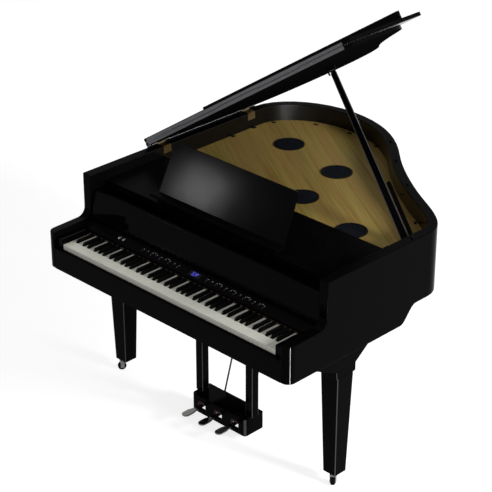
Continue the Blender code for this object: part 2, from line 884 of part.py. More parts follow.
def make_desk_strut(axis, pin_place, metal):
    slope = math.radians(strut_slope)
    run = Vector((math.cos(slope), -math.sin(slope)))
    rise = Vector((math.sin(slope), math.cos(slope)))
    half = strut_thickness / 2
    drop = pin_place.y - rack_level(axis) - rack_top_gap - half
    foot_centre = pin_place + run * (drop / math.sin(slope))
    bar = []
    for i in range(9):
        angle = math.radians(40 + 280 * i / 8)
        bar.append(tuple(pin_place + (run * math.cos(angle) + rise * math.sin(angle)) * strut_eye))
    for i in range(7):
        angle = math.radians(-90 + 30 * i)
        bar.append(tuple(foot_centre + (run * math.cos(angle) + rise * math.sin(angle)) * half))
    strut = prism("desk_strut", bar, 0, -strut_width / 2, strut_width / 2, metal)
    radius = strut_pin_radius + fit_gap
    hole = ((0.0, -0.02), (radius, -0.02), (radius, 0.02), (0.0, 0.02))
    bore = turned("strut_bore", hole, (0.0, *pin_place), 12, metal, along((1, 0, 0)))
    combine(strut, bore, "DIFFERENCE")
    return strut


def make_desk_base(axis, black):
    level = top_board_level + fit_gap
    shelf_under = shelf_top - shelf_thickness
    shelf_rear = axis.x - knuckle_radius - leaf_gap
    half = shelf_width / 2
    nose = shelf_thickness / 2
    shelf_line = [(shelf_rear, shelf_under), (shelf_rear, shelf_top)]
    for i in range(7):
        angle = math.radians(90 + 30 * i)
        shelf_line.append((shelf_front + nose + nose * math.cos(angle),
                           shelf_under + nose + nose * math.sin(angle)))
    base = prism("desk_base", shelf_line, 0, -half, half, black)
    inner = half - shelf_overhang
    rail = block("rail", (-inner, shelf_front + 0.018, level),
                 (inner, shelf_rear - weld, shelf_under + weld), black)
    combine(base, rail, "UNION")
    sole = block("sole", (-inner, shelf_rear - 0.004, level), (inner, axis.x + 0.012, level + 0.004), black)
    combine(base, sole, "UNION")
    rack = block("rack", (-rack_width / 2, axis.x, level + weld),
                 (rack_width / 2, rack_end, rack_level(axis)), black)
    combine(base, rack, "UNION")
    for x in bracket_places:
        reach = bracket_width / 2
        post = block("post", (x - reach, axis.x - 0.002, level + 0.002),
                     (x + reach, axis.x + 0.002, axis.y), black)
        combine(base, post, "UNION")
        end = reach + weld
        line = ((0.0, -end), (knuckle_radius, -end), (knuckle_radius, end), (0.0, end))
        combine(base, turned("barrel", line, (x, *axis), 16, black, along((1, 0, 0))), "UNION")
    return smooth(base, 40)


def make_desk(black, metal):
    foot, up, back = desk_frame()
    axis = foot + back * desk_thickness / 2 - up * (knuckle_radius + fit_gap)
    pivot = add_pivot("pivot_music_desk", (0.0, *axis), (-1, 0, 0))
    desk, pin_place = make_desk_board(axis, foot, up, back, black)
    carry(desk, pivot)
    strut_pivot = add_pivot("pivot_desk_strut", (0.0, *pin_place), (1, 0, 0), pivot)
    carry(make_desk_strut(axis, pin_place, metal), strut_pivot)
    make_desk_base(axis, black)


# Lid
def make_lid_hinge(middle, side, brass, pivot):
    # One hinge: a bent plate on the rim with two knuckles, and a leaf under the lid with the third.
    low = middle - hinge_width / 2
    high = middle + hinge_width / 2
    sheet = hinge_plate - fit_gap
    under = rim_top + lid_lift
    plate_low = rim_top + fit_gap
    leaf_low = under - fit_gap - sheet
    wall = -inner_half + fit_gap
    start = lid_axis[0] + hinge_radius + leaf_gap
    profile = ((start, plate_low), (wall, plate_low), (wall, plate_low - hinge_drop),
               (wall + hinge_plate, plate_low - hinge_drop), (wall + hinge_plate, plate_low + sheet),
               (start, plate_low + sheet))
    plate = prism("lid_hinge_plate_" + side, profile, 1, low, high, brass)
    leaf = block("lid_hinge_leaf_" + side, (start, low, leaf_low),
                 (wall + hinge_plate, high, leaf_low + sheet), brass)
    third = hinge_width / 3
    barrel = ((0.0, 0.0), (hinge_radius, 0.0), (hinge_radius, third - fit_gap), (0.0, third - fit_gap))
    for part, item, level in ((0, plate, plate_low), (1, leaf, leaf_low), (2, plate, plate_low)):
        near = low + part * third
        knuckle = turned("knuckle", barrel, (lid_axis[0], near, lid_axis[1]), 12, brass, along((0, 1, 0)))
        combine(item, knuckle, "UNION")
        bridge = block("bridge", (lid_axis[0], near + fit_gap, level + fit_gap / 2),
                       (start + weld, near + third - 2 * fit_gap, level + sheet - fit_gap / 2), brass)
        combine(item, bridge, "UNION")
    carry(leaf, pivot)


def make_strip_leaf(name, sides, parts, low, over, steel):
    # One leaf of the long hinge between lid and flap, with its own stretches of the barrel.
    start = -half_width + 0.008
    span = case_width - 0.008 - strip_margin
    leaf = block(name, (start, sides[0], low), (start + span, sides[1], over - weld), steel)
    middle = lid_front - flap_gap / 2
    centre = over + flap_stand
    for part in parts:
        near = start + span * part / strip_parts + fit_gap / 2
        far = start + span * (part + 1) / strip_parts - fit_gap / 2
        neck = block("neck", (near + weld, sides[0] + fit_gap / 3, over - 2 * weld),
                     (far - weld, sides[1] - fit_gap / 3, centre), steel)
        combine(leaf, neck, "UNION")
        barrel = ((0.0, near), (strip_barrel, near), (strip_barrel, far), (0.0, far))
        combine(leaf, turned("barrel", barrel, (0.0, middle, centre), 10, steel, along((1, 0, 0))), "UNION")
    return leaf


def make_lid(black, brass, steel):
    pivot = add_pivot("pivot_lid", (lid_axis[0], 0.0, lid_axis[1]), (0, 1, 0))
    under = rim_top + lid_lift
    over = under + lid_thickness
    outline = [(-half_width, lid_front)] + case_curve() + [(half_width, lid_front)]
    lid = prism("lid", outline, 2, under, over, black)
    carry(smooth(lid, 30), pivot)
    fold = (0.0, lid_front - flap_gap / 2, over + flap_stand)
    flap_pivot = add_pivot("pivot_lid_flap", fold, (1, 0, 0), pivot)
    flap_rear = lid_front - flap_gap
    flap = block("lid_flap", (-half_width, flap_front, under), (half_width, flap_rear, over), black)
    lip = block("flap_lip", (-lip_half_width, lip_rear - lip_thickness, under - lip_drop),
                (lip_half_width, lip_rear, under + 0.004), black)
    combine(flap, lip, "UNION")
    carry(flap, flap_pivot)
    rear = (lid_front - fit_gap - strip_thickness, lid_front - fit_gap)
    front = (flap_rear + fit_gap, flap_rear + fit_gap + strip_thickness)
    carry(make_strip_leaf("flap_hinge_lid_leaf", rear, (0, 2, 4), under + weld, over, steel), pivot)
    carry(make_strip_leaf("flap_hinge_flap_leaf", front, (1, 3), under + weld, over, steel), flap_pivot)
    for middle, side in zip(hinge_places, ("front", "rear")):
        make_lid_hinge(middle, side, brass, pivot)
    return pivot, flap_pivot


def lid_spot(reach, depth, below):
    # A place under the raised lid: reach along it from its axis, depth in Y, distance below its face.
    angle = math.radians(lid_open)
    lift = rim_top + lid_lift - lid_axis[1] - below
    x = lid_axis[0] + reach * math.cos(angle) - lift * math.sin(angle)
    z = lid_axis[1] + reach * math.sin(angle) + lift * math.cos(angle)
    return Vector((x, depth, z))


def add_bar(bm, root, direction, width_axis, length, width, tip_width, thickness, side):
    # A straight bar that tapers in width, with its long edges chamfered.
    across = width_axis.normalized()
    face = direction.cross(across).normalized()
    chamfer = 0.0022
    rings = []
    for reach, wide in ((0.0, width), (length, tip_width)):
        ring = []
        half = wide / 2
        deep = thickness / 2
        shape = ((-half + chamfer, -deep), (half - chamfer, -deep), (half, -deep + chamfer),
                 (half, deep - chamfer), (half - chamfer, deep), (-half + chamfer, deep),
                 (-half, deep - chamfer), (-half, -deep + chamfer))
        for a, b in shape:
            ring.append(bm.verts.new(root + direction * reach + across * (side + a) + face * b))
        rings.append(ring)
    bm.faces.new(rings[0])
    bm.faces.new(rings[1])
    for i in range(8):
        j = (i + 1) % 8
        bm.faces.new((rings[0][i], rings[0][j], rings[1][j], rings[1][i]))


def make_prop_cup(tip, direction, travel, black, lid_pivot):
    # A block under the lid over the prop's tip, with a shoulder on the side that the prop leans to.
    angle = math.radians(lid_open)
    normal = Vector((-math.sin(angle), 0.0, math.cos(angle)))
    base = tip + normal * (lid_spot(0.0, 0.0, 0.0) - tip).dot(normal)
    run = (travel - normal * travel.dot(normal)).normalized()
    across = run.cross(normal).normalized()
    frame = Matrix((run, across, -normal)).transposed().to_4x4()
    frame.translation = base
    side = 1 if across.dot(direction) > 0 else -1
    near = prop_tip_width / 2 + cup_play
    far = near + cup_wall
    profile = ((-side * near, fit_gap), (side * far, fit_gap), (side * far, cup_shoulder),
               (side * near, cup_shoulder), (side * near, cup_height), (-side * near, cup_height))
    cup = prism("prop_cup", profile, 0, -cup_length / 2, cup_length / 2, black)
    cup.data.transform(frame)
    carry(cup, lid_pivot)


def make_prop_bracket(foot, axis, metal):
    # A pin through both props, headed at one end and held by an ear on the soundboard at the other.
    high = prop_width / 2 + leaf_gap + ear_thickness
    low = -(prop_width / 2 + short_prop_width + 2 * leaf_gap)
    head = prop_pin_radius + 0.0025
    pin = ((0.0, low - 0.002), (head, low - 0.002), (head, low), (prop_pin_radius, low),
           (prop_pin_radius, high - weld), (0.0, high - weld))
    bracket = turned("prop_bracket", pin, foot, 14, metal, along(axis))
    level = soundboard_top + fit_gap
    down = (axis * axis.z - Vector((0.0, 0.0, 1.0))).normalized()
    flat = Vector((axis.y, -axis.x, 0.0)).normalized()
    ear = bmesh.new()
    for place in (high - ear_thickness, high):
        centre = foot + axis * place
        base = centre + down * ((level - centre.z) / down.z)
        top = centre - down * (prop_pin_radius + prop_heel)
        for spot in (base - flat * 0.010, base + flat * 0.010, top + flat * 0.005, top - flat * 0.005):
            ear.verts.new(spot)
    close_box(ear)
    combine(bracket, add_object("bracket_ear", ear, metal), "UNION")


def make_props(black, metal, lid_pivot):
    foot = Vector(prop_foot)
    contact = lid_spot(prop_rest_reach, prop_rest, 0.0)
    direction = (contact - foot).normalized()
    length = (contact - foot).length - prop_tip_gap
    azimuth = math.radians(prop_down_azimuth)
    slope = math.radians(prop_down_slope)
    level = math.cos(slope)
    lowered = Vector((math.cos(azimuth) * level, math.sin(azimuth) * level, math.sin(slope)))
    axis = direction.cross(lowered).normalized()
    heel = prop_pin_radius + prop_heel
    short_side = -(prop_width + short_prop_width) / 2 - leaf_gap
    sides = {"long_prop": (0.0, prop_width, prop_tip_width, length),
             "short_prop": (short_side, short_prop_width, short_prop_width, short_prop_length)}
    radius = prop_pin_radius + fit_gap
    bore = ((0.0, -0.06), (radius, -0.06), (radius, 0.06), (0.0, 0.06))
    for name, (side, width, tip, reach) in sides.items():
        pivot = add_pivot("pivot_" + name, foot, axis)
        bm = bmesh.new()
        root = foot - direction * heel
        add_bar(bm, root, direction, axis, reach + heel, width, tip, prop_thickness, side)
        bar = add_object(name, bm, black)
        combine(bar, turned("pin_bore", bore, foot, 14, black, along(axis)), "DIFFERENCE")
        carry(bar, pivot)
    make_prop_bracket(foot, axis, metal)
    make_prop_cup(foot + direction * length, direction, axis.cross(direction), black, lid_pivot)


# Legs, casters and lyre
def make_leg(name, place, black):
    leg = bmesh.new()
    rear = name == "rear_leg"
    top = rear_leg_top if rear else leg_top
    rings = []
    cut = leg_chamfer
    for width, level in ((leg_bottom_width, leg_bottom), (leg_top_width, top + leg_tenon)):
        half = width / 2
        ring = []
        for sx, sy in ((-1, -1), (1, -1), (1, 1), (-1, 1)):
            first = (place[0] + sx * half, place[1] + sy * (half - cut), level)
            second = (place[0] + sx * (half - cut), place[1] + sy * half, level)
            ring += [first, second] if sx == sy else [second, first]
        rings.append([leg.verts.new(corner) for corner in ring])
    leg.faces.new(rings[0])
    leg.faces.new(rings[1])
    for i in range(8):
        j = (i + 1) % 8
        leg.faces.new((rings[0][i], rings[0][j], rings[1][j], rings[1][i]))
    post = add_object(name, leg, black)
    half = block_width / 2
    if rear:
        seat = rear_bottom + bottom_inset - fit_gap
        head = block("head", (place[0] - half, place[1] - half, top),
                     (place[0] + half, place[1] + half, seat), black)
    else:
        seat = bed_bottom - fit_gap
        front = place[1] - block_half_depth
        back = place[1] + block_half_depth
        profile = ((place[1] - block_front_reach, seat), (front, top + block_front_drop), (front, top),
                   (back, top), (back, top + block_rear_drop), (place[1] + block_rear_reach, seat))
        head = prism("head", profile, 0, place[0] - half, place[0] + half, black)
    combine(post, head, "UNION")


def make_legs(black):
    make_leg("left_leg", (-leg_place[0], leg_place[1]), black)
    make_leg("right_leg", leg_place, black)
    make_leg("rear_leg", rear_leg_place, black)


def make_caster(side_name, place, brass, rubber):
    turn = math.radians(caster_turns[side_name])
    ahead = Vector((math.cos(turn), math.sin(turn), 0.0))
    across = Vector((-ahead.y, ahead.x, 0.0))
    centre = Vector((*place, 0.0))
    hub = centre + ahead * caster_trail + Vector((0.0, 0.0, wheel_radius))
    frame = Matrix((ahead, across, Vector((0.0, 0.0, 1.0)))).transposed().to_4x4()
    frame.translation = centre
    swivel = add_pivot("pivot_caster_fork_" + side_name, centre, (0, 0, 1))
    plate_top = leg_bottom - fit_gap
    plate_low = plate_top - swivel_thickness
    inner = wheel_width / 2 + fork_play
    outer = inner + fork_wall
    crown = wheel_radius * 2 + 0.003
    disc = ((0.0, plate_low), (swivel_radius, plate_low), (swivel_radius, plate_top), (0.0, plate_top))
    fork = turned("caster_fork_" + side_name, disc, (0.0, 0.0, 0.0), 20, brass)
    bridge = block("bridge", (-0.010, -outer, crown), (caster_trail + 0.010, outer, plate_low + weld), brass)
    combine(fork, bridge, "UNION")
    for sign in (-1, 1):
        low, high = sorted((sign * inner, sign * (outer - fit_gap)))
        cheek = block("cheek", (caster_trail - 0.009, low, wheel_radius - 0.007),
                      (caster_trail + 0.009, high, crown + weld), brass)
        combine(fork, cheek, "UNION")
    end = inner + weld
    line = ((0.0, -end), (axle_radius, -end), (axle_radius, end), (0.0, end))
    axle = turned("axle", line, (caster_trail, 0.0, wheel_radius), 12, brass, along((0, 1, 0)))
    combine(fork, axle, "UNION")
    fork.data.transform(frame)
    carry(smooth(fork, 35), swivel)
    roll = add_pivot("pivot_caster_wheel_" + side_name, hub, across, swivel)
    half = wheel_width / 2
    rim = wheel_radius / math.cos(math.pi / wheel_sides)
    tread = ((0.0, -half + 0.001), (rim - 0.004, -half), (rim, -half + 0.003), (rim, half - 0.003),
             (rim - 0.004, half), (0.0, half - 0.001))
    facing = Matrix((ahead, (0.0, 0.0, -1.0), across)).transposed().to_4x4()
    wheel = turned("caster_wheel_" + side_name, tread, hub, wheel_sides, rubber, facing)
    radius = axle_radius + fit_gap
    hole = ((0.0, -0.02), (radius, -0.02), (radius, 0.02), (0.0, 0.02))
    bore = turned("axle_bore", hole, hub, 12, rubber, along(across))
    combine(wheel, bore, "DIFFERENCE")
    carry(smooth(wheel, 35), roll)


def make_pedal(name, x, steel):
    pivot = add_pivot("pivot_" + name, (x, pedal_axis_depth, pedal_level), (1, 0, 0))
    half = pedal_width / 2
    shank = half * pedal_neck
    end = pedal_axis_depth - pedal_hub_radius + weld
    belly = pedal_tip + half + pedal_belly
    neck = belly + pedal_taper
    outline = arc((x, pedal_tip + half), half, 180, 360, 8)
    outline += [(x + half, belly), (x + shank, neck), (x + shank, end), (x - shank, end), (x - shank, neck),
                (x - half, belly)]
    thick = pedal_thickness / 2
    pedal = prism(name, outline, 2, pedal_level - thick, pedal_level + thick, steel)
    reach = shank + weld
    line = ((0.0, -reach), (pedal_hub_radius, -reach), (pedal_hub_radius, reach), (0.0, reach))
    hub = turned("hub", line, (x, pedal_axis_depth, pedal_level), 16, steel, along((1, 0, 0)))
    combine(pedal, hub, "UNION")
    radius = pedal_rod_radius + fit_gap
    hole = ((0.0, -0.03), (radius, -0.03), (radius, 0.03), (0.0, 0.03))
    bore = turned("bore", hole, (x, pedal_axis_depth, pedal_level), 12, steel, along((1, 0, 0)))
    combine(pedal, bore, "DIFFERENCE")
    carry(smooth(pedal, 40), pivot)


def make_lyre(black, steel):
    low = (lyre_middle - box_half_width, box_front, box_bottom)
    high = (lyre_middle + box_half_width, box_rear, box_top)
    corner = box_corner_radius
    outline = arc((low[0] + corner, low[1] + corner), corner, 180, 270, 4)
    outline += arc((high[0] - corner, low[1] + corner), corner, 270, 360, 4)
    outline += [(high[0], high[1]), (low[0], high[1])]
    case = prism("pedal_lyre", outline, 2, low[2], high[2], black)
    room = block("room", (low[0] + box_wall, low[1] + box_wall, low[2] - 0.01),
                 (high[0] - box_wall, high[1] - box_wall, high[2] - box_wall), black)
    combine(case, room, "DIFFERENCE")
    slot_low = pedal_level - pedal_thickness / 2 - 0.016
    slot_high = pedal_level + pedal_thickness / 2 + 0.003
    pedal_places = [lyre_middle + (i - 1) * pedal_pitch for i in range(3)]
    for x in pedal_places:
        half = pedal_width / 2 + 0.002
        slot = block("slot", (x - half, low[1] - 0.01, slot_low),
                     (x + half, low[1] + box_wall + 0.002, slot_high), black)
        combine(case, slot, "DIFFERENCE")
    reach = box_half_width - 0.002
    line = ((0.0, -reach), (pedal_rod_radius, -reach), (pedal_rod_radius, reach), (0.0, reach))
    rod = turned("pedal_rod", line, (lyre_middle, pedal_axis_depth, pedal_level), 12, black,
                 along((1, 0, 0)))
    combine(case, rod, "UNION")
    for sign in (-1, 1):
        x = lyre_middle + sign * lyre_spread
        post = block("post", (x - post_width / 2, post_front, box_top - weld),
                     (x + post_width / 2, post_front + post_depth, bed_bottom - fit_gap), black)
        combine(case, post, "UNION")
    smooth(case, 35)
    for name, x in zip(("soft_pedal", "sostenuto_pedal", "damper_pedal"), pedal_places):
        make_pedal(name, x, steel)


def make_brace(brass):
    # Two rods on one foot bar behind the pedal box, up to the underside of the key bed.
    foot_high = box_top - 0.012
    foot_low = foot_high - brace_foot_height
    reach = brace_spread + 0.010
    brace = block("lyre_brace", (lyre_middle - reach, box_rear + fit_gap, foot_low),
                  (lyre_middle + reach, box_rear + fit_gap + brace_foot_depth, foot_high), brass)
    for sign in (-1, 1):
        x = lyre_middle + sign * brace_spread
        start = Vector((x, box_rear + fit_gap + brace_foot_depth / 2, (foot_low + foot_high) / 2))
        end = Vector((x, brace_top_reach, bed_bottom - fit_gap))
        run = (end - start).normalized()
        turn = along(run).to_3x3()
        bm = bmesh.new()
        rings = []
        for centre, level in ((start, start.z), (end, end.z)):
            ring = []
            for i in range(12):
                angle = 2 * math.pi * i / 12
                spot = centre + turn @ Vector((math.cos(angle), math.sin(angle), 0.0)) * brace_radius
                ring.append(bm.verts.new(spot + run * ((level - spot.z) / run.z)))
            rings.append(ring)
        bm.faces.new(rings[0])
        bm.faces.new(rings[1])
        for i in range(12):
            j = (i + 1) % 12
            bm.faces.new((rings[0][i], rings[0][j], rings[1][j], rings[1][i]))
        combine(brace, add_object("rod", bm, brass), "UNION")
    smooth(brace, 40)


def centre_on_floor():
    # Moves the whole piano so that the origin is on the floor under the middle of its box.
    bpy.context.view_layer.update()
    corners = []
    for item in bpy.data.objects:
        if item.type == "MESH":
            corners += [item.matrix_world @ v.co for v in item.data.vertices]
    points = np.array([tuple(c) for c in corners])
    low = points.min(axis=0)
    high = points.max(axis=0)
    root = bpy.data.objects.new("piano_origin", None)
    bpy.context.scene.collection.objects.link(root)
    loose = [item for item in bpy.data.objects if item.parent is None and item is not root]
    for item in loose:
        item.parent = root
    root.location = (-(low[0] + high[0]) / 2, -(low[1] + high[1]) / 2, -low[2])
    bpy.context.view_layer.update()
    return root


def build():
    clear_scene()
    black = paint("gloss_black", (0.012, 0.012, 0.014), 0.08)
    wood = paint("soundboard_wood", (0.60, 0.42, 0.18), 0.45)
    cloth = paint("speaker_black", (0.020, 0.022, 0.028), 0.6)
    ivory = paint("key_white", (0.86, 0.85, 0.80), 0.35)
    ebony = paint("key_black", (0.02, 0.02, 0.02), 0.4)
    brass = paint("brass", (0.72, 0.56, 0.30), 0.25, 1.0)
    chrome = paint("chrome", (0.80, 0.78, 0.74), 0.15, 1.0)
    grey = paint("grey_metal", (0.45, 0.45, 0.47), 0.35, 1.0)
    rubber = paint("black_rubber", (0.03, 0.03, 0.03), 0.8)
    felt = paint("red_felt", (0.16, 0.015, 0.02), 0.95)
    screen = paint("display_glass", (0.05, 0.06, 0.30), 0.1)
    circuit = paint("circuit_green", (0.03, 0.18, 0.08), 0.5)
    pale = paint("button_grey", (0.25, 0.25, 0.26), 0.4)
    make_rim(black)
    make_inner_boards(black, wood)
    make_speakers(cloth)
    make_keys(ivory, ebony)
    make_key_carrier(black, grey, felt, circuit)
    make_panel(black, screen, chrome, pale)
    make_fallboard(black)
    make_desk(black, grey)
    lid_pivot, flap_pivot = make_lid(black, brass, grey)
    swing(flap_pivot, -180.0)
    swing(lid_pivot, -lid_open)
    make_props(black, grey, lid_pivot)
    make_legs(black)
    make_caster("left", (-leg_place[0], leg_place[1]), brass, rubber)
    make_caster("right", leg_place, brass, rubber)
    make_caster("rear", rear_leg_place, brass, rubber)
    make_lyre(black, chrome)
    make_brace(brass)
    centre_on_floor()


build()
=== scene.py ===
import json
import math

import bmesh
import bpy
from mathutils import Euler, Matrix, Vector

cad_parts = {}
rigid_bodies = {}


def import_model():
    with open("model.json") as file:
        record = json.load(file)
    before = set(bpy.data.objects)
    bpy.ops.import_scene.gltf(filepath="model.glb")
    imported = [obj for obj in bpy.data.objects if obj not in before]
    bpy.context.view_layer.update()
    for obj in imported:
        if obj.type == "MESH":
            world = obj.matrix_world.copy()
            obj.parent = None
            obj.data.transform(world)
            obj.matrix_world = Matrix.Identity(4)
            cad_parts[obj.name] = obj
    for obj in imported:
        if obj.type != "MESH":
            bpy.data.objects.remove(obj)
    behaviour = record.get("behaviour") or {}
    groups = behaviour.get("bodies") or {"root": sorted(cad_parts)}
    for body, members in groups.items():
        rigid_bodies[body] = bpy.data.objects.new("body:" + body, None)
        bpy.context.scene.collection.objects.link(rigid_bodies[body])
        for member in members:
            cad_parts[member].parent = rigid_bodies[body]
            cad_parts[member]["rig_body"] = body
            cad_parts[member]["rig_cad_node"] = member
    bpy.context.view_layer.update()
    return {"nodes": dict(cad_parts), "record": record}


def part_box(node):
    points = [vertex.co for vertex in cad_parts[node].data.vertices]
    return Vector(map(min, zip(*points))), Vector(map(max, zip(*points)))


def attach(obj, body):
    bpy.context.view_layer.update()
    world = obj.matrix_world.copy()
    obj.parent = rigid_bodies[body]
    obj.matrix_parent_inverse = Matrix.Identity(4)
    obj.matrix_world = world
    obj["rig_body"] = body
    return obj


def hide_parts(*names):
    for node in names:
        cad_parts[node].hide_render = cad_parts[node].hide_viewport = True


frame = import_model()
nodes = frame["nodes"]
bodyOf = {}
for body, members in frame["record"]["behaviour"]["bodies"].items():
    for member in members:
        bodyOf[member] = body
print("frame loaded:", len(nodes), "nodes")

rimLow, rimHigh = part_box("rim")
middleX = (rimLow.x + rimHigh.x) / 2  # the middle of the keyboard
frontY = rimLow.y                     # the front of the arms
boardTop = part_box("soundboard")[1].z

# the raised lid's slope, and the ways along it and out of its top face
lidAngle = math.radians(33.4)
alongLid = Vector((math.cos(lidAngle), 0.0, math.sin(lidAngle)))
acrossLid = Vector((-math.sin(lidAngle), 0.0, math.cos(lidAngle)))


def spot(x, y, z):
    # a place given from the keyboard's middle, the front of the arms and the floor
    return Vector((middleX + x, frontY + y, z))


# hand tools, with their tolerances in metres and degrees

toolLimits = {"merge": 0.00002, "flatAngle": 0.6, "smoothAngle": 40.0, "cornerCosine": 0.9,
              "outerStep": -1e-7, "screwSink": 0.5, "screwWall": 0.08, "screwAngle": 50.0}


def deselectAll():
    if bpy.context.object and bpy.context.object.mode != "OBJECT":
        bpy.ops.object.mode_set(mode="OBJECT")
    bpy.ops.object.select_all(action="DESELECT")


def openMesh():
    # into edit mode, with all of the mesh selected
    bpy.ops.object.mode_set(mode="EDIT")
    bpy.ops.mesh.select_all(action="SELECT")


def closeMesh():
    bpy.ops.object.mode_set(mode="OBJECT")


def pick(piece):
    deselectAll()
    piece.select_set(True)
    bpy.context.view_layer.objects.active = piece


def settle(piece):
    # puts the piece's place into its mesh
    pick(piece)
    bpy.ops.object.transform_apply(location=True, rotation=True, scale=True)
    return piece


def rename(piece, name):
    piece.name = name
    piece.data.name = name
    return piece


def copyNode(nodeName, pieceName):
    # a merged copy of a CAD node, with flat faces made whole again
    pick(nodes[nodeName])
    bpy.ops.object.duplicate(linked=False)
    piece = bpy.context.object
    bpy.ops.object.parent_clear(type="CLEAR_KEEP_TRANSFORM")
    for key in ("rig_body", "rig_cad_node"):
        if key in piece:
            del piece[key]
    rename(piece, pieceName)
    bpy.ops.mesh.customdata_custom_splitnormals_clear()
    openMesh()
    bpy.ops.mesh.remove_doubles(threshold=toolLimits["merge"])
    bpy.ops.mesh.dissolve_limited(angle_limit=math.radians(toolLimits["flatAngle"]))
    bpy.ops.mesh.select_all(action="SELECT")
    bpy.ops.mesh.normals_make_consistent(inside=False)
    closeMesh()
    piece.data.materials.clear()
    return piece


def roundEdges(piece, width, segments=2, angle=30.0):
    pick(piece)
    bevel = piece.modifiers.new("roundEdges", "BEVEL")
    bevel.width = width
    bevel.segments = segments
    bevel.limit_method = "ANGLE"
    bevel.angle_limit = math.radians(angle)
    bevel.use_clamp_overlap = False
    bpy.ops.object.modifier_apply(modifier=bevel.name)
    return evenShade(piece)


def evenShade(piece, angle=toolLimits["smoothAngle"]):
    pick(piece)
    bpy.ops.object.shade_smooth_by_angle(angle=math.radians(angle))
    weigh = piece.modifiers.new("evenNormals", "WEIGHTED_NORMAL")
    weigh.keep_sharp = True
    bpy.ops.object.modifier_apply(modifier=weigh.name)
    return piece


def cutAcross(piece, place, normal):
    # an extra edge line where the plane meets the piece
    pick(piece)
    openMesh()
    bpy.ops.mesh.bisect(plane_co=place, plane_no=normal)
    closeMesh()


def roundFront(piece, width, segments, rearLimit):
    # rounds the outer edges in front of the limit and leaves the hidden webs sharp
    mesh = piece.data
    sides = {}
    for face in mesh.polygons:
        for key in face.edge_keys:
            sides.setdefault(key, []).append(face)
    weights = mesh.attributes.new("bevel_weight_edge", "FLOAT", "EDGE")
    for edge in mesh.edges:
        pair = sides.get(edge.key, [])
        if len(pair) != 2:
            continue
        one, other = pair
        start, end = (mesh.vertices[index].co for index in edge.vertices)
        outer = (other.center - one.center).dot(one.normal) < toolLimits["outerStep"]
        corner = one.normal.dot(other.normal) < toolLimits["cornerCosine"]
        if outer and corner and (start.y + end.y) / 2 < rearLimit:
            weights.data[edge.index].value = 1.0
    pick(piece)
    bevel = piece.modifiers.new("roundEdges", "BEVEL")
    bevel.width = width
    bevel.segments = segments
    bevel.limit_method = "WEIGHT"
    bevel.use_clamp_overlap = True
    bpy.ops.object.modifier_apply(modifier=bevel.name)
    return evenShade(piece)


def finishPiece(piece, body, material, replaced=()):
    # gives the piece its finish, lets it ride and hides the nodes that it stands for
    if material is not None:
        piece.data.materials.clear()
        piece.data.materials.append(material)
    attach(piece, body)
    if replaced:
        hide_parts(*replaced)
    return piece


def dressNode(nodeName, pieceName, material, width, segments=2):
    # a node's rounded copy in its better finish
    piece = copyNode(nodeName, pieceName)
    roundEdges(piece, width, segments)
    return finishPiece(piece, bodyOf[nodeName], material, (nodeName,))


def paintFaces(piece, material, wanted):
    # a second finish on the faces that the test picks
    piece.data.materials.append(material)
    index = len(piece.data.materials) - 1
    for face in piece.data.polygons:
        if wanted(face):
            face.material_index = index


def joinPieces(pieces, name):
    deselectAll()
    for piece in pieces:
        piece.select_set(True)
    bpy.context.view_layer.objects.active = pieces[0]
    if len(pieces) > 1:
        bpy.ops.object.join()
    return rename(bpy.context.object, name)


def copyTo(piece, shift):
    # the piece once more, moved, with its own mesh
    pick(piece)
    bpy.ops.object.duplicate(linked=False)
    copied = bpy.context.object
    bpy.ops.transform.translate(value=shift)
    return settle(copied)


def copyAlong(piece, places, name):
    # the piece stands at the origin: its copies go to the places, and it goes itself
    copies = [copyTo(piece, place) for place in places]
    bpy.data.objects.remove(piece, do_unlink=True)
    return joinPieces(copies, name)


def smallPlate(size, turn, edge, centre=(0.0, 0.0, 0.0)):
    # a thin plate with rounded edges
    deselectAll()
    bpy.ops.mesh.primitive_cube_add(size=1.0, location=centre, rotation=turn)
    plate = bpy.context.object
    plate.scale = size
    settle(plate)
    return roundEdges(plate, edge)


def selectTop(piece):
    # into edit mode, with only the faces that look up selected
    bpy.ops.object.mode_set(mode="EDIT")
    bpy.ops.mesh.select_all(action="DESELECT")
    for face in bmesh.from_edit_mesh(piece.data).faces:
        face.select_set(face.normal.z > 0.9)


def smallDisc(radius, height, edge, direction=(0.0, 0.0, 1.0), sides=16, recess=0.0):
    # a low round head on the origin, with a sunk middle if it is a screw
    deselectAll()
    bpy.ops.mesh.primitive_cylinder_add(vertices=sides, radius=radius, depth=height,
                                        location=(0, 0, height / 2))
    disc = settle(bpy.context.object)
    if recess:
        selectTop(disc)
        bpy.ops.mesh.inset(thickness=radius * toolLimits["screwSink"])
        bpy.ops.mesh.inset(thickness=radius * toolLimits["screwWall"])
        bpy.ops.transform.translate(value=(0, 0, -recess))
        closeMesh()
    roundEdges(disc, edge, angle=toolLimits["screwAngle"])
    disc.rotation_euler = Vector(direction).to_track_quat("Z", "Y").to_euler()
    return settle(disc)


# shader helpers

def addNode(tree, kind, **settings):
    node = tree.nodes.new(kind)
    for key, value in settings.items():
        setattr(node, key, value)
    return node


def feed(tree, source, target, index=0):
    # source is a node, or a (node, output) pair
    node, output = source if isinstance(source, tuple) else (source, 0)
    tree.links.new(node.outputs[output], target.inputs[index])


def newGroup(name, inputs, outputs):
    group = bpy.data.node_groups.new(name, "ShaderNodeTree")
    for label, value in inputs:
        kind = "NodeSocketVector" if value is None else "NodeSocketFloat"
        socket = group.interface.new_socket(name=label, in_out="INPUT", socket_type=kind)
        if value is not None:
            socket.default_value = value
    for label, kind in outputs:
        group.interface.new_socket(name=label, in_out="OUTPUT", socket_type="NodeSocket" + kind)
    start = group.nodes.new("NodeGroupInput")
    end = group.nodes.new("NodeGroupOutput")
    return group, start, end


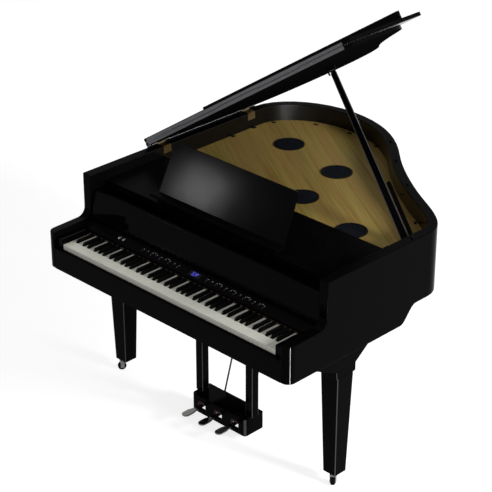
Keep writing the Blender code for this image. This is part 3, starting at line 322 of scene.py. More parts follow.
def mathNode(tree, operation, first, second=None, clamp=False):
    node = addNode(tree, "ShaderNodeMath", operation=operation, use_clamp=clamp)
    for index, value in enumerate((first, second)):
        if value is None:
            continue
        if isinstance(value, (int, float)):
            node.inputs[index].default_value = value
        else:
            feed(tree, value, node, index)
    return node


def times(tree, first, second, clamp=False):
    return mathNode(tree, "MULTIPLY", first, second, clamp)


def rangeNode(tree, source, low, high, newLow, newHigh, smooth=False):
    node = addNode(tree, "ShaderNodeMapRange")
    if smooth:
        node.interpolation_type = "SMOOTHSTEP"
    feed(tree, source, node, "Value")
    for label, value in (("From Min", low), ("From Max", high), ("To Min", newLow), ("To Max", newHigh)):
        if isinstance(value, (int, float)):
            node.inputs[label].default_value = value
        else:
            feed(tree, value, node, label)
    return node


def noiseNode(tree, vector, scale, detail=2.0, roughness=0.5):
    node = addNode(tree, "ShaderNodeTexNoise")
    node.inputs["Detail"].default_value = detail
    node.inputs["Roughness"].default_value = roughness
    if isinstance(scale, (int, float)):
        node.inputs["Scale"].default_value = scale
    else:
        feed(tree, scale, node, "Scale")
    feed(tree, vector, node, "Vector")
    return node


def stretchNode(tree, vector, scale=(1.0, 1.0, 1.0), turn=(0.0, 0.0, 0.0)):
    node = addNode(tree, "ShaderNodeMapping")
    node.inputs["Scale"].default_value = scale
    node.inputs["Rotation"].default_value = turn
    feed(tree, vector, node)
    return node


def makeHandlingGroup():
    # handling marks in a hard finish: soft smudges in the gloss, a faint waviness and hairlines
    group, start, end = newGroup("handlingMarks",
                                 [("Vector", None), ("Smudge Scale", 9.0), ("Wave Scale", 60.0),
                                  ("Low Roughness", 0.05), ("High Roughness", 0.16)],
                                 [("Roughness", "Float"), ("Height", "Float")])
    vector = (start, "Vector")
    smudge = noiseNode(group, vector, (start, "Smudge Scale"), 5.0, 0.62)
    hair = stretchNode(group, vector, (3.0, 240.0, 190.0), (0.4, 0.2, 0.7))
    hairline = noiseNode(group, hair, 1.0, 1.0, 0.5)
    hairMask = rangeNode(group, hairline, 0.66, 0.74, 0.0, 0.5)
    mask = rangeNode(group, smudge, 0.42, 0.72, 0.0, 1.0, True)
    both = mathNode(group, "ADD", mask, hairMask, True)
    rough = rangeNode(group, both, 0.0, 1.0, (start, "Low Roughness"), (start, "High Roughness"))
    wave = noiseNode(group, vector, (start, "Wave Scale"), 1.0, 0.4)
    feed(group, rough, end, "Roughness")
    feed(group, wave, end, "Height")
    return group


def makeDustGroup():
    # fine settled dust on faces that look up
    group, start, end = newGroup("settledDust", [("Vector", None), ("Amount", 0.1)], [("Mask", "Float")])
    geometry = addNode(group, "ShaderNodeNewGeometry")
    split = addNode(group, "ShaderNodeSeparateXYZ")
    feed(group, (geometry, "Normal"), split)
    upward = rangeNode(group, (split, "Z"), 0.55, 0.98, 0.0, 1.0, True)
    grains = noiseNode(group, (start, "Vector"), 420.0, 2.0, 0.7)
    drift = noiseNode(group, (start, "Vector"), 5.0, 3.0, 0.55)
    fine = rangeNode(group, grains, 0.50, 0.72, 0.15, 1.0)
    wide = rangeNode(group, drift, 0.35, 0.70, 0.25, 1.0)
    mask = times(group, times(group, fine, wide), upward)
    total = times(group, mask, (start, "Amount"), True)
    feed(group, total, end, "Mask")
    return group


def makeBrushGroup():
    # drawn or brushed metal: long fine lines along the vector's X
    group, start, end = newGroup("brushedLines",
                                 [("Vector", None), ("Line Scale", 900.0), ("Low Roughness", 0.2),
                                  ("High Roughness", 0.35)],
                                 [("Roughness", "Float"), ("Height", "Float"), ("Shade", "Float")])
    mapping = stretchNode(group, (start, "Vector"), (0.03, 1.0, 1.0))
    lines = noiseNode(group, mapping, (start, "Line Scale"), 2.0, 0.6)
    blotch = noiseNode(group, (start, "Vector"), 35.0, 3.0, 0.6)
    rough = rangeNode(group, lines, 0.3, 0.7, (start, "Low Roughness"), (start, "High Roughness"))
    shade = rangeNode(group, blotch, 0.3, 0.75, 1.0, 0.80)
    feed(group, rough, end, "Roughness")
    feed(group, lines, end, "Height")
    feed(group, shade, end, "Shade")
    return group


handlingMarks = makeHandlingGroup()
settledDust = makeDustGroup()
brushedLines = makeBrushGroup()


def newMaterial(name):
    material = bpy.data.materials.new(name)
    material.use_nodes = True
    tree = material.node_tree
    shader = tree.nodes["Principled BSDF"]
    place = addNode(tree, "ShaderNodeTexCoord")
    return material, tree, shader, (place, "Object")


def placeGroup(tree, group, vector, **values):
    node = addNode(tree, "ShaderNodeGroup", node_tree=group)
    feed(tree, vector, node, "Vector")
    for label, value in values.items():
        node.inputs[label].default_value = value
    return node


def addMarks(tree, shader, vector, low, high, smudge=9.0):
    # handling marks between two roughnesses
    marks = placeGroup(tree, handlingMarks, vector,
                       **{"Smudge Scale": smudge, "Low Roughness": low, "High Roughness": high})
    feed(tree, (marks, "Roughness"), shader, "Roughness")
    return marks


def addBump(tree, shader, height, strength, distance):
    bump = addNode(tree, "ShaderNodeBump")
    bump.inputs["Strength"].default_value = strength
    bump.inputs["Distance"].default_value = distance
    feed(tree, height, bump, "Height")
    feed(tree, bump, shader, "Normal")


def mixColour(tree, factor, first, second, blend="MIX"):
    # each colour is three numbers, a node or a (node, output) pair
    node = addNode(tree, "ShaderNodeMix", data_type="RGBA", blend_type=blend)
    if isinstance(factor, (int, float)):
        node.inputs[0].default_value = factor
    else:
        feed(tree, factor, node, 0)
    for index, value in ((6, first), (7, second)):
        if isinstance(value, tuple) and len(value) == 3:
            node.inputs[index].default_value = (*value, 1.0)
        else:
            feed(tree, value, node, index)
    return (node, 2)


def shadeRamp(tree, source, stops):
    ramp = addNode(tree, "ShaderNodeValToRGB")
    feed(tree, source, ramp, "Fac")
    elements = ramp.color_ramp.elements
    while len(elements) < len(stops):
        elements.new(0.5)
    for element, (position, colour) in zip(elements, stops):
        element.position = position
        element.color = (*colour, 1.0)
    return (ramp, "Color")


def makeLacquer(name, colour, low, high, ior, dust=0.005, wave=0.012, level=0.5):
    # polished or satin black lacquer
    material, tree, shader, vector = newMaterial(name)
    marks = addMarks(tree, shader, vector, low, high)
    motes = placeGroup(tree, settledDust, vector, Amount=dust)
    feed(tree, mixColour(tree, (motes, "Mask"), colour, (0.18, 0.17, 0.16)), shader, "Base Color")
    shader.inputs["IOR"].default_value = ior
    shader.inputs["Specular IOR Level"].default_value = level
    addBump(tree, shader, (marks, "Height"), wave, 0.002)
    return material


def makeMetal(name, colour, low, high, lineScale=900.0, turn=(0.0, 0.0, 0.0), strength=0.05):
    material, tree, shader, vector = newMaterial(name)
    mapping = stretchNode(tree, vector, turn=turn)
    lines = placeGroup(tree, brushedLines, mapping,
                       **{"Line Scale": lineScale, "Low Roughness": low, "High Roughness": high})
    tint = mixColour(tree, (lines, "Shade"), tuple(c * 0.62 for c in colour), colour)
    feed(tree, tint, shader, "Base Color")
    feed(tree, (lines, "Roughness"), shader, "Roughness")
    shader.inputs["Metallic"].default_value = 1.0
    addBump(tree, shader, (lines, "Height"), strength, 0.0006)
    return material


def makePlastic(name, colour, low, high, grain=900.0, strength=0.12, ior=1.45):
    material, tree, shader, vector = newMaterial(name)
    addMarks(tree, shader, vector, low, high)
    grainNoise = noiseNode(tree, vector, grain, 2.0, 0.6)
    tone = rangeNode(tree, noiseNode(tree, vector, 14.0, 3.0, 0.6), 0.3, 0.7, 0.88, 1.1)
    feed(tree, mixColour(tree, 1.0, colour, (tone, 0), "MULTIPLY"), shader, "Base Color")
    shader.inputs["IOR"].default_value = ior
    addBump(tree, shader, grainNoise, strength, 0.0003)
    return material


spruceLooks = {"grainTurn": 32.0, "boardWidth": 0.085, "specularLevel": 0.04, "warp": 0.010,
               "tones": [(0.30, (0.178, 0.120, 0.026)), (0.42, (0.246, 0.172, 0.042)),
                         (0.50, (0.292, 0.214, 0.062)), (0.60, (0.266, 0.180, 0.048)),
                         (0.72, (0.200, 0.132, 0.030))],
               "rings": [(0.34, (0.74, 0.70, 0.62)), (0.52, (1.0, 1.0, 1.0)), (0.75, (1.10, 1.07, 1.02))],
               "warm": (0.262, 0.156, 0.056), "cool": (0.208, 0.186, 0.054)}


def makeSpruce():
    # the soundboard: narrow golden boards on the slant, with darker growth lines
    material, tree, shader, vector = newMaterial("soundboardSpruce")
    mapping = stretchNode(tree, vector, turn=(0.0, 0.0, math.radians(spruceLooks["grainTurn"])))
    bend = noiseNode(tree, mapping, 1.3, 2.0, 0.5)
    stretch = stretchNode(tree, mapping, (0.7, 1.0, 1.0))
    warp = addNode(tree, "ShaderNodeMix", data_type="VECTOR")
    warp.inputs[0].default_value = spruceLooks["warp"]
    feed(tree, stretch, warp, 4)
    feed(tree, (bend, "Color"), warp, 5)
    warped = (warp, 1)
    bands = noiseNode(tree, stretchNode(tree, warped, (0.9, 17.0, 1.0)), 1.6, 4.0, 0.62)
    rings = noiseNode(tree, stretchNode(tree, warped, (1.6, 150.0, 1.0)), 1.5, 3.0, 0.7)
    fibres = noiseNode(tree, stretchNode(tree, warped, (12.0, 700.0, 1.0)), 1.0, 2.0, 0.6)
    base = shadeRamp(tree, bands, spruceLooks["tones"])
    lines = shadeRamp(tree, rings, spruceLooks["rings"])
    mixed = mixColour(tree, 0.75, base, lines, "MULTIPLY")
    # each glued board keeps a tone of its own
    split = addNode(tree, "ShaderNodeSeparateXYZ")
    feed(tree, mapping, split)
    boardIndex = mathNode(tree, "FLOOR", mathNode(tree, "DIVIDE", (split, "Y"), spruceLooks["boardWidth"]))
    ownTone = addNode(tree, "ShaderNodeTexWhiteNoise", noise_dimensions="1D")
    feed(tree, boardIndex, ownTone, "W")
    boardTone = rangeNode(tree, (ownTone, "Value"), 0.0, 1.0, 0.86, 1.12)
    boards = mixColour(tree, 1.0, mixed, (boardTone, 0), "MULTIPLY")
    hue = noiseNode(tree, stretchNode(tree, mapping, (0.6, 5.0, 1.0)), 2.2, 2.0, 0.5)
    warm = mixColour(tree, rangeNode(tree, hue, 0.40, 0.66, 0.0, 0.5), boards, spruceLooks["warm"])
    cool = mixColour(tree, rangeNode(tree, hue, 0.46, 0.30, 0.0, 0.4), warm, spruceLooks["cool"])
    feed(tree, cool, shader, "Base Color")
    feed(tree, rangeNode(tree, fibres, 0.3, 0.7, 0.44, 0.58), shader, "Roughness")
    shader.inputs["IOR"].default_value = 1.4
    shader.inputs["Specular IOR Level"].default_value = spruceLooks["specularLevel"]
    ringHeight = times(tree, rings, 0.6)
    fibreHeight = times(tree, fibres, 0.4)
    addBump(tree, shader, mathNode(tree, "ADD", ringHeight, fibreHeight), 0.18, 0.0004)
    return material


def makeEbony():
    material, tree, shader, vector = newMaterial("blackKeyResin")
    grain = noiseNode(tree, stretchNode(tree, vector, (900.0, 14.0, 300.0)), 1.0, 3.0, 0.6)
    addMarks(tree, shader, vector, 0.30, 0.42)
    base = shadeRamp(tree, grain, [(0.3, (0.0012, 0.0012, 0.0012)), (0.7, (0.0032, 0.0030, 0.0029))])
    feed(tree, base, shader, "Base Color")
    shader.inputs["IOR"].default_value = 1.09
    addBump(tree, shader, grain, 0.15, 0.0002)
    return material


def makeIvory():
    # smooth white key tops with a very fine lengthwise grain
    material, tree, shader, vector = newMaterial("whiteKeyIvoryFeel")
    grain = noiseNode(tree, stretchNode(tree, vector, (260.0, 9.0, 60.0)), 1.0, 3.0, 0.65)
    wear = noiseNode(tree, vector, 22.0, 4.0, 0.6)
    addMarks(tree, shader, vector, 0.28, 0.38, 40.0)
    base = shadeRamp(tree, grain, [(0.32, (0.540, 0.532, 0.470)), (0.60, (0.554, 0.548, 0.484))])
    worn = mixColour(tree, rangeNode(tree, wear, 0.45, 0.80, 0.0, 0.10), base, (0.50, 0.485, 0.41))
    feed(tree, worn, shader, "Base Color")
    shader.inputs["IOR"].default_value = 1.34
    shader.inputs["Subsurface Weight"].default_value = 0.05
    shader.inputs["Subsurface Radius"].default_value = (0.004, 0.003, 0.002)
    addBump(tree, shader, grain, 0.05, 0.0002)
    return material


def makeFelt(name, colour):
    material, tree, shader, vector = newMaterial(name)
    fibres = noiseNode(tree, vector, 1400.0, 3.0, 0.7)
    clumps = noiseNode(tree, vector, 160.0, 3.0, 0.6)
    dark = tuple(c * 0.45 for c in colour)
    blend = rangeNode(tree, clumps, 0.3, 0.7, 0.0, 1.0)
    feed(tree, mixColour(tree, blend, dark, colour), shader, "Base Color")
    feed(tree, rangeNode(tree, fibres, 0.2, 0.8, 0.85, 1.0), shader, "Roughness")
    shader.inputs["Sheen Weight"].default_value = 0.25
    shader.inputs["Sheen Roughness"].default_value = 0.5
    shader.inputs["Specular IOR Level"].default_value = 0.15
    addBump(tree, shader, mathNode(tree, "ADD", fibres, clumps), 0.5, 0.0006)
    return material


def makeGrille():
    # pressed speaker mesh: small round holes set on the diagonal
    material, tree, shader, vector = newMaterial("grilleMesh")
    mapping = stretchNode(tree, vector, turn=(0.0, 0.0, math.radians(45)))
    cells = addNode(tree, "ShaderNodeTexVoronoi", voronoi_dimensions="2D")
    cells.inputs["Scale"].default_value = 430.0
    cells.inputs["Randomness"].default_value = 0.0
    feed(tree, mapping, cells, "Vector")
    hole = rangeNode(tree, (cells, "Distance"), 0.28, 0.36, 0.0, 1.0, True)
    tone = noiseNode(tree, vector, 18.0, 2.0, 0.5)
    blend = rangeNode(tree, tone, 0.3, 0.7, 0.0, 1.0)
    web = mixColour(tree, blend, (0.0062, 0.0075, 0.0105), (0.0080, 0.0095, 0.0130))
    feed(tree, mixColour(tree, hole, (0.0022, 0.0022, 0.003), web), shader, "Base Color")
    feed(tree, rangeNode(tree, hole, 0.0, 1.0, 0.9, 0.55), shader, "Roughness")
    shader.inputs["IOR"].default_value = 1.06
    addBump(tree, shader, hole, 0.4, 0.0008)
    return material


def makePaintedGlow(name, colour, strength):
    # printed white with a painted glow from its emission, so that it still reads on the black panel
    material, tree, shader, vector = newMaterial(name)
    speck = noiseNode(tree, vector, 900.0, 1.0, 0.5)
    shader.inputs["Base Color"].default_value = (*colour, 1.0)
    fleck = rangeNode(tree, speck, 0.3, 0.7, 0.0, 0.3)
    feed(tree, mixColour(tree, fleck, colour, (0.8, 0.85, 1.0)), shader, "Emission Color")
    shader.inputs["Emission Strength"].default_value = strength
    return material


displayLooks = {"segment": 0.0042, "row": 0.0030, "litShare": 0.56, "halfWide": 0.0150, "halfDeep": 0.0090,
                "colour": (0.12, 0.11, 0.90), "strength": 1.3}


def makeDisplay():
    # dark glass with a small lit field of plain bars, no letters
    material, tree, shader, vector = newMaterial("displayGlass")
    low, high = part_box("display_window")
    shift = addNode(tree, "ShaderNodeVectorMath", operation="SUBTRACT")
    feed(tree, vector, shift, 0)
    shift.inputs[1].default_value = (low + high) / 2
    split = addNode(tree, "ShaderNodeSeparateXYZ")
    feed(tree, (shift, 0), split)
    column = mathNode(tree, "DIVIDE", (split, "X"), displayLooks["segment"])
    row = mathNode(tree, "DIVIDE", (split, "Y"), displayLooks["row"])
    cell = addNode(tree, "ShaderNodeCombineXYZ")
    feed(tree, mathNode(tree, "FLOOR", column), cell, 0)
    feed(tree, mathNode(tree, "FLOOR", row), cell, 1)
    chance = addNode(tree, "ShaderNodeTexWhiteNoise", noise_dimensions="2D")
    feed(tree, cell, chance, "Vector")
    lit = mathNode(tree, "GREATER_THAN", (chance, "Value"), displayLooks["litShare"])
    acrossBar = mathNode(tree, "GREATER_THAN", mathNode(tree, "FRACT", column), 0.18)
    alongBar = mathNode(tree, "GREATER_THAN", mathNode(tree, "FRACT", row), 0.35)
    wide = mathNode(tree, "LESS_THAN", mathNode(tree, "ABSOLUTE", (split, "X")), displayLooks["halfWide"])
    deep = mathNode(tree, "LESS_THAN", mathNode(tree, "ABSOLUTE", (split, "Y")), displayLooks["halfDeep"])
    inside = times(tree, wide, deep)
    bars = times(tree, times(tree, acrossBar, alongBar), lit)
    glow = rangeNode(tree, times(tree, inside, bars), 0.0, 1.0, 0.05, 1.0)
    field = times(tree, inside, glow)
    feed(tree, mixColour(tree, field, (0.0, 0.0, 0.0), displayLooks["colour"]), shader, "Emission Color")
    shader.inputs["Emission Strength"].default_value = displayLooks["strength"]
    shader.inputs["Base Color"].default_value = (0.004, 0.004, 0.008, 1.0)
    addMarks(tree, shader, vector, 0.06, 0.14)
    shader.inputs["IOR"].default_value = 1.12
    return material


def makeCircuit():
    # a lacquered circuit board: dark green field, copper runs and dark chips
    material, tree, shader, vector = newMaterial("circuitBoard")
    chips = addNode(tree, "ShaderNodeTexBrick")
    chips.inputs["Scale"].default_value = 26.0
    chips.inputs["Mortar Size"].default_value = 0.10
    feed(tree, vector, chips, "Vector")
    runs = noiseNode(tree, stretchNode(tree, vector, (40.0, 600.0, 40.0)), 1.0, 1.0, 0.4)
    runMask = rangeNode(tree, runs, 0.50, 0.56, 0.0, 1.0)
    field = mixColour(tree, runMask, (0.0022, 0.0080, 0.0050), (0.0040, 0.0130, 0.0080))
    chipMask = rangeNode(tree, noiseNode(tree, vector, 21.0, 0.0, 0.5), 0.52, 0.54, 0.0, 1.0)
    chipPlace = times(tree, mathNode(tree, "SUBTRACT", 1.0, (chips, "Fac")), chipMask)
    feed(tree, mixColour(tree, chipPlace, field, (0.008, 0.008, 0.009)), shader, "Base Color")
    feed(tree, rangeNode(tree, runs, 0.3, 0.7, 0.30, 0.45), shader, "Roughness")
    addBump(tree, shader, chipPlace, 0.4, 0.0006)
    return material


polishedBlack = makeLacquer("polishedBlackLacquer", (0.0010, 0.0010, 0.0011), 0.035, 0.09, 1.06)
fallBlack = makeLacquer("fallboardLacquer", (0.0016, 0.0016, 0.0017), 0.02, 0.06, 1.075, 0.004, 0.004)
lidBlack = makeLacquer("lidTopLacquer", (0.0020, 0.0020, 0.0021), 0.10, 0.18, 1.06, 0.004)
lidUnderBlack = makeLacquer("lidUndersideMatt", (0.0036, 0.0036, 0.0037), 0.50, 0.62, 1.20, 0.0, 0.012, 0.0)
innerBlack = makeLacquer("innerRimSatin", (0.0018, 0.0018, 0.0019), 0.20, 0.26, 1.42, 0.004, 0.004)
# a lighter grey lacquer for bevels: a painted highlight along the edges
paintedEdgeHighlight = makeLacquer("paintedEdgeHighlightLacquer", (0.050, 0.050, 0.052), 0.10, 0.16, 1.30, 0.004, 0.002)
deskBlack = makeLacquer("deskSatinLacquer", (0.0016, 0.0016, 0.0017), 0.13, 0.15, 1.07, 0.0, 0.002)
satinBlack = makeLacquer("satinBlackLacquer", (0.0014, 0.0014, 0.0015), 0.26, 0.34, 1.04)
# black paint of the inner parts, also laid on as painted shade on the key sticks and the hinge-side strips
insideBlackAndShade = makeLacquer("insideBlackPaintAndShade", (0.0045, 0.0045, 0.0048), 0.38, 0.55, 1.20, 0.06, 0.05)
panelBlack = makePlastic("panelBlackSatin", (0.0022, 0.0022, 0.0026), 0.22, 0.34, 1400.0, 0.06, 1.05)
buttonBlack = makePlastic("buttonDarkGrey", (0.0060, 0.0060, 0.0068), 0.30, 0.42, 1200.0, 0.08, 1.2)
knobGrey = makeMetal("knobGreySatin", (0.20, 0.205, 0.20), 0.30, 0.42, 1100.0)
rubberBlack = makePlastic("blackRubber", (0.006, 0.006, 0.006), 0.45, 0.65, 700.0, 0.35, 1.02)
spruce = makeSpruce()
ivory = makeIvory()
ebony = makeEbony()
redFelt = makeFelt("darkRedFelt", (0.050, 0.006, 0.009))
grilleMesh = makeGrille()
ringBlack = makePlastic("grilleRingBlack", (0.0040, 0.0040, 0.0050), 0.42, 0.50, 1200.0, 0.05, 1.08)
brass = makeMetal("polishedBrass", (0.44, 0.36, 0.24), 0.24, 0.36, 700.0)
darkChrome = makeMetal("darkChrome", (0.16, 0.158, 0.155), 0.14, 0.26, 700.0)
braceBlack = makeMetal("braceBlackChrome", (0.045, 0.044, 0.043), 0.14, 0.26, 700.0)
chrome = makeMetal("pedalChrome", (0.17, 0.166, 0.16), 0.10, 0.18, 500.0, (0.0, 0.0, math.pi / 2), 0.02)
steel = makeMetal("brushedSteel", (0.30, 0.30, 0.31), 0.24, 0.38, 1100.0)
stripMetal = makeMetal("greyStripMetal", (0.088, 0.088, 0.096), 0.40, 0.52, 1300.0, (0.0, lidAngle, 0.0))
screwDark = makeMetal("darkScrewSteel", (0.20, 0.20, 0.21), 0.25, 0.4, 900.0)
# the panel's print glows faintly: a painted glow
printPaintedGlow = makePaintedGlow("panelPrintPaintedGlow", (0.42, 0.44, 0.50), 0.30)
displayGlass = makeDisplay()
circuitBoard = makeCircuit()
print("finishes made:", len(bpy.data.materials))


# case

caseLooks = {"edge": 0.0030, "softEdge": 0.0012, "insideFrom": boardTop + 0.004, "topBand": 0.003,
             "cavityMiddle": spot(-0.10, 0.90, 0.95), "wall": 0.043, "rayDrop": 0.006}

rimPiece = dressNode("rim", "caseRim", polishedBlack, caseLooks["edge"], 3)


def facesCavity(face):
    # inner walls above the soundboard
    toMiddle = caseLooks["cavityMiddle"].xy - face.center.xy
    inward = face.normal.xy.dot(toMiddle) > 0.02
    highest = max(rimPiece.data.vertices[index].co.z for index in face.vertices)
    return abs(face.normal.z) < 0.5 and highest > caseLooks["insideFrom"] and inward


def topsRim(face):
    return face.normal.z > 0.95 and face.center.z > rimHigh.z - caseLooks["topBand"]


paintFaces(rimPiece, innerBlack, facesCavity)
paintFaces(rimPiece, satinBlack, topsRim)
dressNode("top_board", "topBoard", satinBlack, caseLooks["softEdge"])
dressNode("key_slip", "keySlip", polishedBlack, caseLooks["softEdge"])
for nodeName in ("key_bed", "belly_rail", "bottom_board"):
    nodes[nodeName].material_slots[0].material = insideBlackAndShade
nodes["key_frame"].material_slots[0].material = steel
nodes["sound_module"].material_slots[0].material = circuitBoard

# black strips on the lid's hinge side, put over the gap there as painted shade: a low one on the rim,
# in lengths between the knuckles, and two thin lips beside it
shadeStripLooks = {"x": -0.6904, "width": 0.0080, "height": 0.0038, "edge": 0.0004, "gap": 0.0001,
             "spans": ((0.575, 0.624), (0.676, 1.144), (1.196, 1.232)),
             "lips": ((-0.69585, 0.9886), (-0.69735, 0.9877)), "lipWidth": 0.0015, "lipLow": 0.9790,
             "lipSpan": (0.575, 1.232), "lipEdge": 0.0002}


def shadeStripPlate(x, span, low, high, width, edge):
    start, end = span
    return smallPlate((width, end - start, high - low), (0.0, 0.0, 0.0), edge,
                      spot(x, (start + end) / 2, (low + high) / 2))


shadeStripLow = rimHigh.z + shadeStripLooks["gap"]
shadeStrips = [shadeStripPlate(shadeStripLooks["x"], span, shadeStripLow, shadeStripLow + shadeStripLooks["height"], shadeStripLooks["width"],
                   shadeStripLooks["edge"]) for span in shadeStripLooks["spans"]]
shadeStrips += [shadeStripPlate(x, shadeStripLooks["lipSpan"], shadeStripLooks["lipLow"], high, shadeStripLooks["lipWidth"],
                    shadeStripLooks["lipEdge"]) for x, high in shadeStripLooks["lips"]]
# the strips stand in for the shade in the hinge gap
finishPiece(joinPieces(shadeStrips, "hingeSideShadeStrips"), "case", insideBlackAndShade)

# rubber bumpers under the closed lid, clear of its hinges
bumperLooks = {"disc": {"radius": 0.0068, "height": 0.0056, "edge": 0.0018}, "lift": 0.0003,
               "hingeSide": spot(-0.60, 0.0, 0.0).x, "hingeReach": 0.045,
               "turns": (-62.0, -48.0, -14.0, 20.0, 52.0, 78.0, 112.0, 158.0, 205.0, 238.0)}
hingeMiddles = []
for nodeName in ("lid_hinge_leaf_front", "lid_hinge_leaf_rear"):
    low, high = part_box(nodeName)
    hingeMiddles.append((low.y + high.y) / 2)
bumperPlaces = []
for turn in bumperLooks["turns"]:
    # from the middle of the cavity out to the inner wall, then half a wall further
    start = Vector((*caseLooks["cavityMiddle"].xy, rimHigh.z - caseLooks["rayDrop"]))
    ray = Vector((math.cos(math.radians(turn)), math.sin(math.radians(turn)), 0.0))
    hit, place, normal, _ = rimPiece.ray_cast(start, ray)
    if hit:
        seat = place - normal.normalized() * caseLooks["wall"] / 2
        fromHinge = min(abs(seat.y - y) for y in hingeMiddles)
        if seat.x > bumperLooks["hingeSide"] or fromHinge > bumperLooks["hingeReach"]:
            bumperPlaces.append(Vector((seat.x, seat.y, rimHigh.z + bumperLooks["lift"])))
bumper = smallDisc(**bumperLooks["disc"])
finishPiece(copyAlong(bumper, bumperPlaces, "rimBumpers"), "case", rubberBlack)

# clips round the deck, each held by a screw
clipLooks = {"size": (0.012, 0.020, 0.0022), "edge": 0.0006, "gap": 0.0001,
             "screw": {"radius": 0.0022, "height": 0.0010, "edge": 0.0003, "recess": 0.0004},
             "places": ((-0.6395, 1.043, 0.0), (-0.6425, 1.179, 10.0), (-0.622, 1.286, 25.0),
                        (-0.470, 1.405, 70.0), (-0.291, 1.436, 90.0), (-0.114, 1.410, 115.0),
                        (0.275, 1.080, 140.0), (0.505, 0.940, 135.0))}
clipHeight = clipLooks["size"][2]
clips = []
screwPlaces = []
for x, y, turn in clipLooks["places"]:
    clips.append(smallPlate(clipLooks["size"], (0.0, 0.0, math.radians(-turn)), clipLooks["edge"],
                            spot(x, y, boardTop + clipHeight / 2 + clipLooks["gap"])))
    screwPlaces.append(spot(x, y, boardTop + clipHeight))
clipScrews = copyAlong(smallDisc(**clipLooks["screw"]), screwPlaces, "deckClipScrews")
finishPiece(joinPieces(clips, "deckClips"), "case", satinBlack)
finishPiece(clipScrews, "case", screwDark)

catchLooks = {"place": (0.6495, 0.585), "size": (0.0035, 0.030, 0.016), "drop": 0.010, "edge": 0.0008}
lidCatch = smallPlate(catchLooks["size"], (0.0, 0.0, 0.0), catchLooks["edge"],
                      spot(*catchLooks["place"], rimHigh.z - catchLooks["drop"]))
finishPiece(rename(lidCatch, "lidCatch"), "case", satinBlack)
print("case done")

# soundboard and speakers

nodes["soundboard"].material_slots[0].material = spruce

speakerLooks = {"sides": 48, "lift": 0.0003, "sink": 0.0004, "driverEdge": 0.0006, "trim": 0.0001,
                "profile": ((0.0014, 0.0), (0.0052, 0.0), (0.0012, -0.0014), (0.030, 0.0006)),
                "meshInset": 0.009, "smoothAngle": 25.0}


def dressSpeaker(nodeName, pieceName):
    # the driver ends under the deck's face, and a ring with a dished grille closes it
    low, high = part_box(nodeName)
    centre = (low + high) / 2
    radius = (high.x - low.x) / 2
    seat = boardTop + speakerLooks["lift"]
    driver = copyNode(nodeName, pieceName + "Driver")
    openMesh()
    bpy.ops.mesh.bisect(plane_co=(centre.x, centre.y, seat - speakerLooks["sink"]), plane_no=(0, 0, 1),
                        use_fill=True, clear_outer=True)
    closeMesh()
    roundEdges(driver, speakerLooks["driverEdge"])
    deselectAll()
    bpy.ops.mesh.primitive_cylinder_add(vertices=speakerLooks["sides"], depth=high.z - seat,
                                        radius=radius - speakerLooks["trim"],
                                        location=(centre.x, centre.y, (high.z + seat) / 2))
    grille = settle(bpy.context.object)
    selectTop(grille)
    for inset, rise in speakerLooks["profile"]:
        bpy.ops.mesh.inset(thickness=inset)
        if rise:
            bpy.ops.transform.translate(value=(0, 0, rise))
    closeMesh()
    meshReach = radius - speakerLooks["meshInset"]
    grille.data.materials.append(ringBlack)
    paintFaces(grille, grilleMesh, lambda face: face.normal.z > 0.8
               and (face.center.xy - centre.xy).length < meshReach)
    evenShade(grille, speakerLooks["smoothAngle"])
    rename(grille, pieceName)
    finishPiece(driver, "case", ringBlack)
    finishPiece(grille, "case", None, (nodeName,))


for nodeName in ("treble_speaker_left", "bass_speaker_middle", "bass_speaker_front", "treble_speaker_right"):
    pitch, _, seatSide = nodeName.split("_")
    dressSpeaker(nodeName, "speaker" + pitch.capitalize() + seatSide.capitalize())
print("speakers done")

# keyboard: ivory in front; the key sticks behind the control panel are painted dark, a painted shade under
# the panel

keyLooks = {"whiteEdge": 0.0007, "blackEdge": 0.0013, "feltEdge": 0.0009,
            "stickLine": spot(0.0, 0.2055, 0.0).y}
for letter in "abcdefg":
    nodeName = "keys_" + letter
    piece = copyNode(nodeName, "whiteKeys" + letter.upper())
    roundFront(piece, keyLooks["whiteEdge"], 2, keyLooks["stickLine"])
    cutAcross(piece, (0.0, keyLooks["stickLine"], 0.0), (0.0, 1.0, 0.0))
    finishPiece(piece, bodyOf[nodeName], ivory, (nodeName,))
    # behind the panel's crest the keys get painted shade
    paintFaces(piece, insideBlackAndShade, lambda face: face.center.y > keyLooks["stickLine"])
for grouping in ("pairs", "triples"):
    nodeName = "black_keys_" + grouping
    piece = copyNode(nodeName, "blackKeys" + grouping.capitalize())
    roundFront(piece, keyLooks["blackEdge"], 3, keyLooks["stickLine"])
    finishPiece(piece, bodyOf[nodeName], ebony, (nodeName,))
dressNode("key_felt", "keyFeltStrip", redFelt, keyLooks["feltEdge"], 3)
print("keys done")

# control panel

panelLooks = {"frontY": 0.1635, "crestY": 0.205, "lowZ": 0.764, "highZ": 0.7805, "edge": 0.0006,
              "controlEdge": 0.0004, "windowEdge": 0.0002}
panelRun = panelLooks["crestY"] - panelLooks["frontY"]
panelSlope = math.atan2(panelLooks["highZ"] - panelLooks["lowZ"], panelRun)

dressNode("control_panel", "controlPanel", panelBlack, panelLooks["edge"])
dressNode("volume_knob", "volumeKnob", knobGrey, panelLooks["controlEdge"])
dressNode("tone_knob", "toneKnob", knobGrey, panelLooks["controlEdge"])
dressNode("left_buttons", "leftButtons", buttonBlack, panelLooks["controlEdge"])
dressNode("right_buttons", "rightButtons", buttonBlack, panelLooks["controlEdge"])
dressNode("display_window", "displayWindow", displayGlass, panelLooks["windowEdge"])

